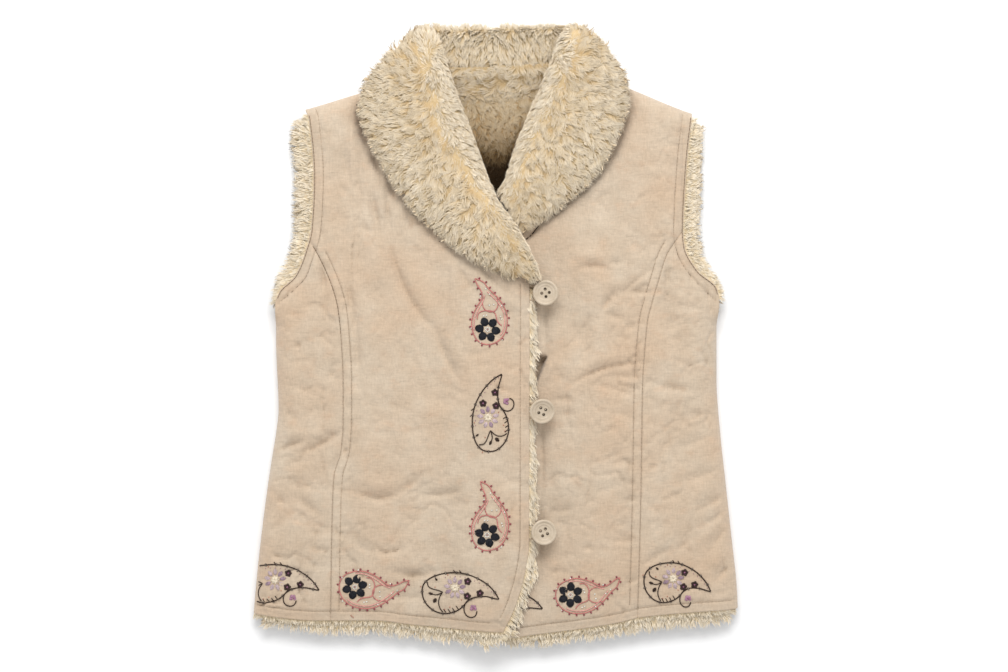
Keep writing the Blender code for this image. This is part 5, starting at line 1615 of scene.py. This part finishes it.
def hole_painted_shade(tree, at, place, turn):
    """Painted shade: dark in a button's four holes and just round them, and 1 on the rest of it."""
    # The button's own quarter turns fold onto one, in which a hole lies on the diagonal.
    own = node(tree, "ShaderNodeMapping", vector_type="TEXTURE", Vector=at, Location=place, Rotation=turn)
    own = own.outputs["Vector"]
    flat = node(tree, "ShaderNodeMapping", Vector=own, Rotation=(0, 0, math.pi / 4), Scale=(1, 1, 0))
    folded = node(tree, "ShaderNodeVectorMath", operation="ABSOLUTE")
    away = node(tree, "ShaderNodeVectorMath", operation="DISTANCE")
    plug(tree, folded.inputs[0], flat.outputs[0])
    plug(tree, away.inputs[0], folded.outputs[0])
    plug(tree, away.inputs[1], (HOLE_RING * MM / math.sqrt(2), HOLE_RING * MM / math.sqrt(2), 0))
    return node(tree, "ShaderNodeMapRange", Value=away.outputs["Value"], From_Min=0.0012, From_Max=0.0018,
                To_Min=0.04, To_Max=1.0).outputs["Result"]


def button_finish(name, place, turn):
    """Matt resin, slightly clouded, with painted shade in and round its holes."""
    made, tree, skin = finish_of(name + "_resin", 0.42)
    at = object_place(tree)
    specks = noise(tree, at, 900, 2, 0.5)
    base = ramp(tree, noise(tree, at, 130, 3, 0.6), (0.3, (0.50, 0.41, 0.30)), (0.7, (0.60, 0.50, 0.385)))
    worn = mixed(tree, base, ramp(tree, specks, (0.35, 0.94), (0.7, 1.03)), 1.0, "MULTIPLY")
    plug(tree, skin["Base Color"], mixed(tree, worn, hole_painted_shade(tree, at, place, turn), 1.0, "MULTIPLY"))
    raise_bump(tree, skin, specks, 0.12, 0.0002)
    return made


def paint(name, finish):
    for slot in bpy.data.objects[name].material_slots:
        slot.material = finish


for end, x, y, base, *turn in zip(("top", "middle", "bottom"), *BUTTON_PLACES.values()):
    place = (x * MM, y * MM, base * MM)
    paint("button_" + end, button_finish("button_" + end, place, tuple(np.radians(turn))))
    paint("button_shank_" + end, THREADS["shank"])
    paint("button_loop_" + end, THREADS["seam"])

# ---------------------------------------------------------------- floor, light and camera

FLOOR_SIZE, FLOOR_LEVEL = 6.0, -0.0005
ROOM_LIGHT = 0.82
SOFT_BOX_SIZE, SOFT_BOX_POWER = (1.5, 0.9), 40.0
SOFT_BOX_PLACE, SOFT_BOX_AIM = (0.05, 1.65, 1.75), (0, 0.02, 0)
CAMERA_PLACE, CAMERA_LENS, CAMERA_SENSOR = (0.0095, 0.001, 2.40), 85, 36


def stand_up(name, data, place):
    """A light or camera in the scene."""
    made = bpy.data.objects.new(name, data)
    made.location = place
    bpy.context.scene.collection.objects.link(made)
    return made


def build_stage():
    floor_finish, tree, skin = finish_of("pale_floor", 1.0, specular=0.0)
    spots = noise(tree, object_place(tree), 40, 2)
    plug(tree, skin["Base Color"], ramp(tree, spots, (0, 0.93), (1, 0.94)))
    bpy.ops.object.select_all(action="DESELECT")
    bpy.ops.mesh.primitive_plane_add(size=FLOOR_SIZE)
    floor = bpy.context.object
    floor.name = "floor"
    floor.data.materials.append(floor_finish)
    floor.location.z = FLOOR_LEVEL

    world = bpy.data.worlds.new("studio")
    bpy.context.scene.world = world
    world.use_nodes = True
    room = world.node_tree.nodes["Background"].inputs
    room["Color"].default_value = (1, 1, 1, 1)
    room["Strength"].default_value = ROOM_LIGHT

    lamp = bpy.data.lights.new("soft_box", "AREA")
    lamp.shape = "RECTANGLE"
    lamp.size, lamp.size_y = SOFT_BOX_SIZE
    lamp.energy = SOFT_BOX_POWER
    box = stand_up("soft_box", lamp, SOFT_BOX_PLACE)
    box.rotation_mode = "QUATERNION"
    box.rotation_quaternion = (Vector(SOFT_BOX_AIM) - box.location).to_track_quat("-Z", "Y")

    lens = bpy.data.cameras.new("camera")
    lens.lens, lens.sensor_width = CAMERA_LENS, CAMERA_SENSOR
    bpy.context.scene.camera = stand_up("camera", lens, CAMERA_PLACE)
    bpy.context.scene.view_settings.view_transform = "Standard"


build_stage()
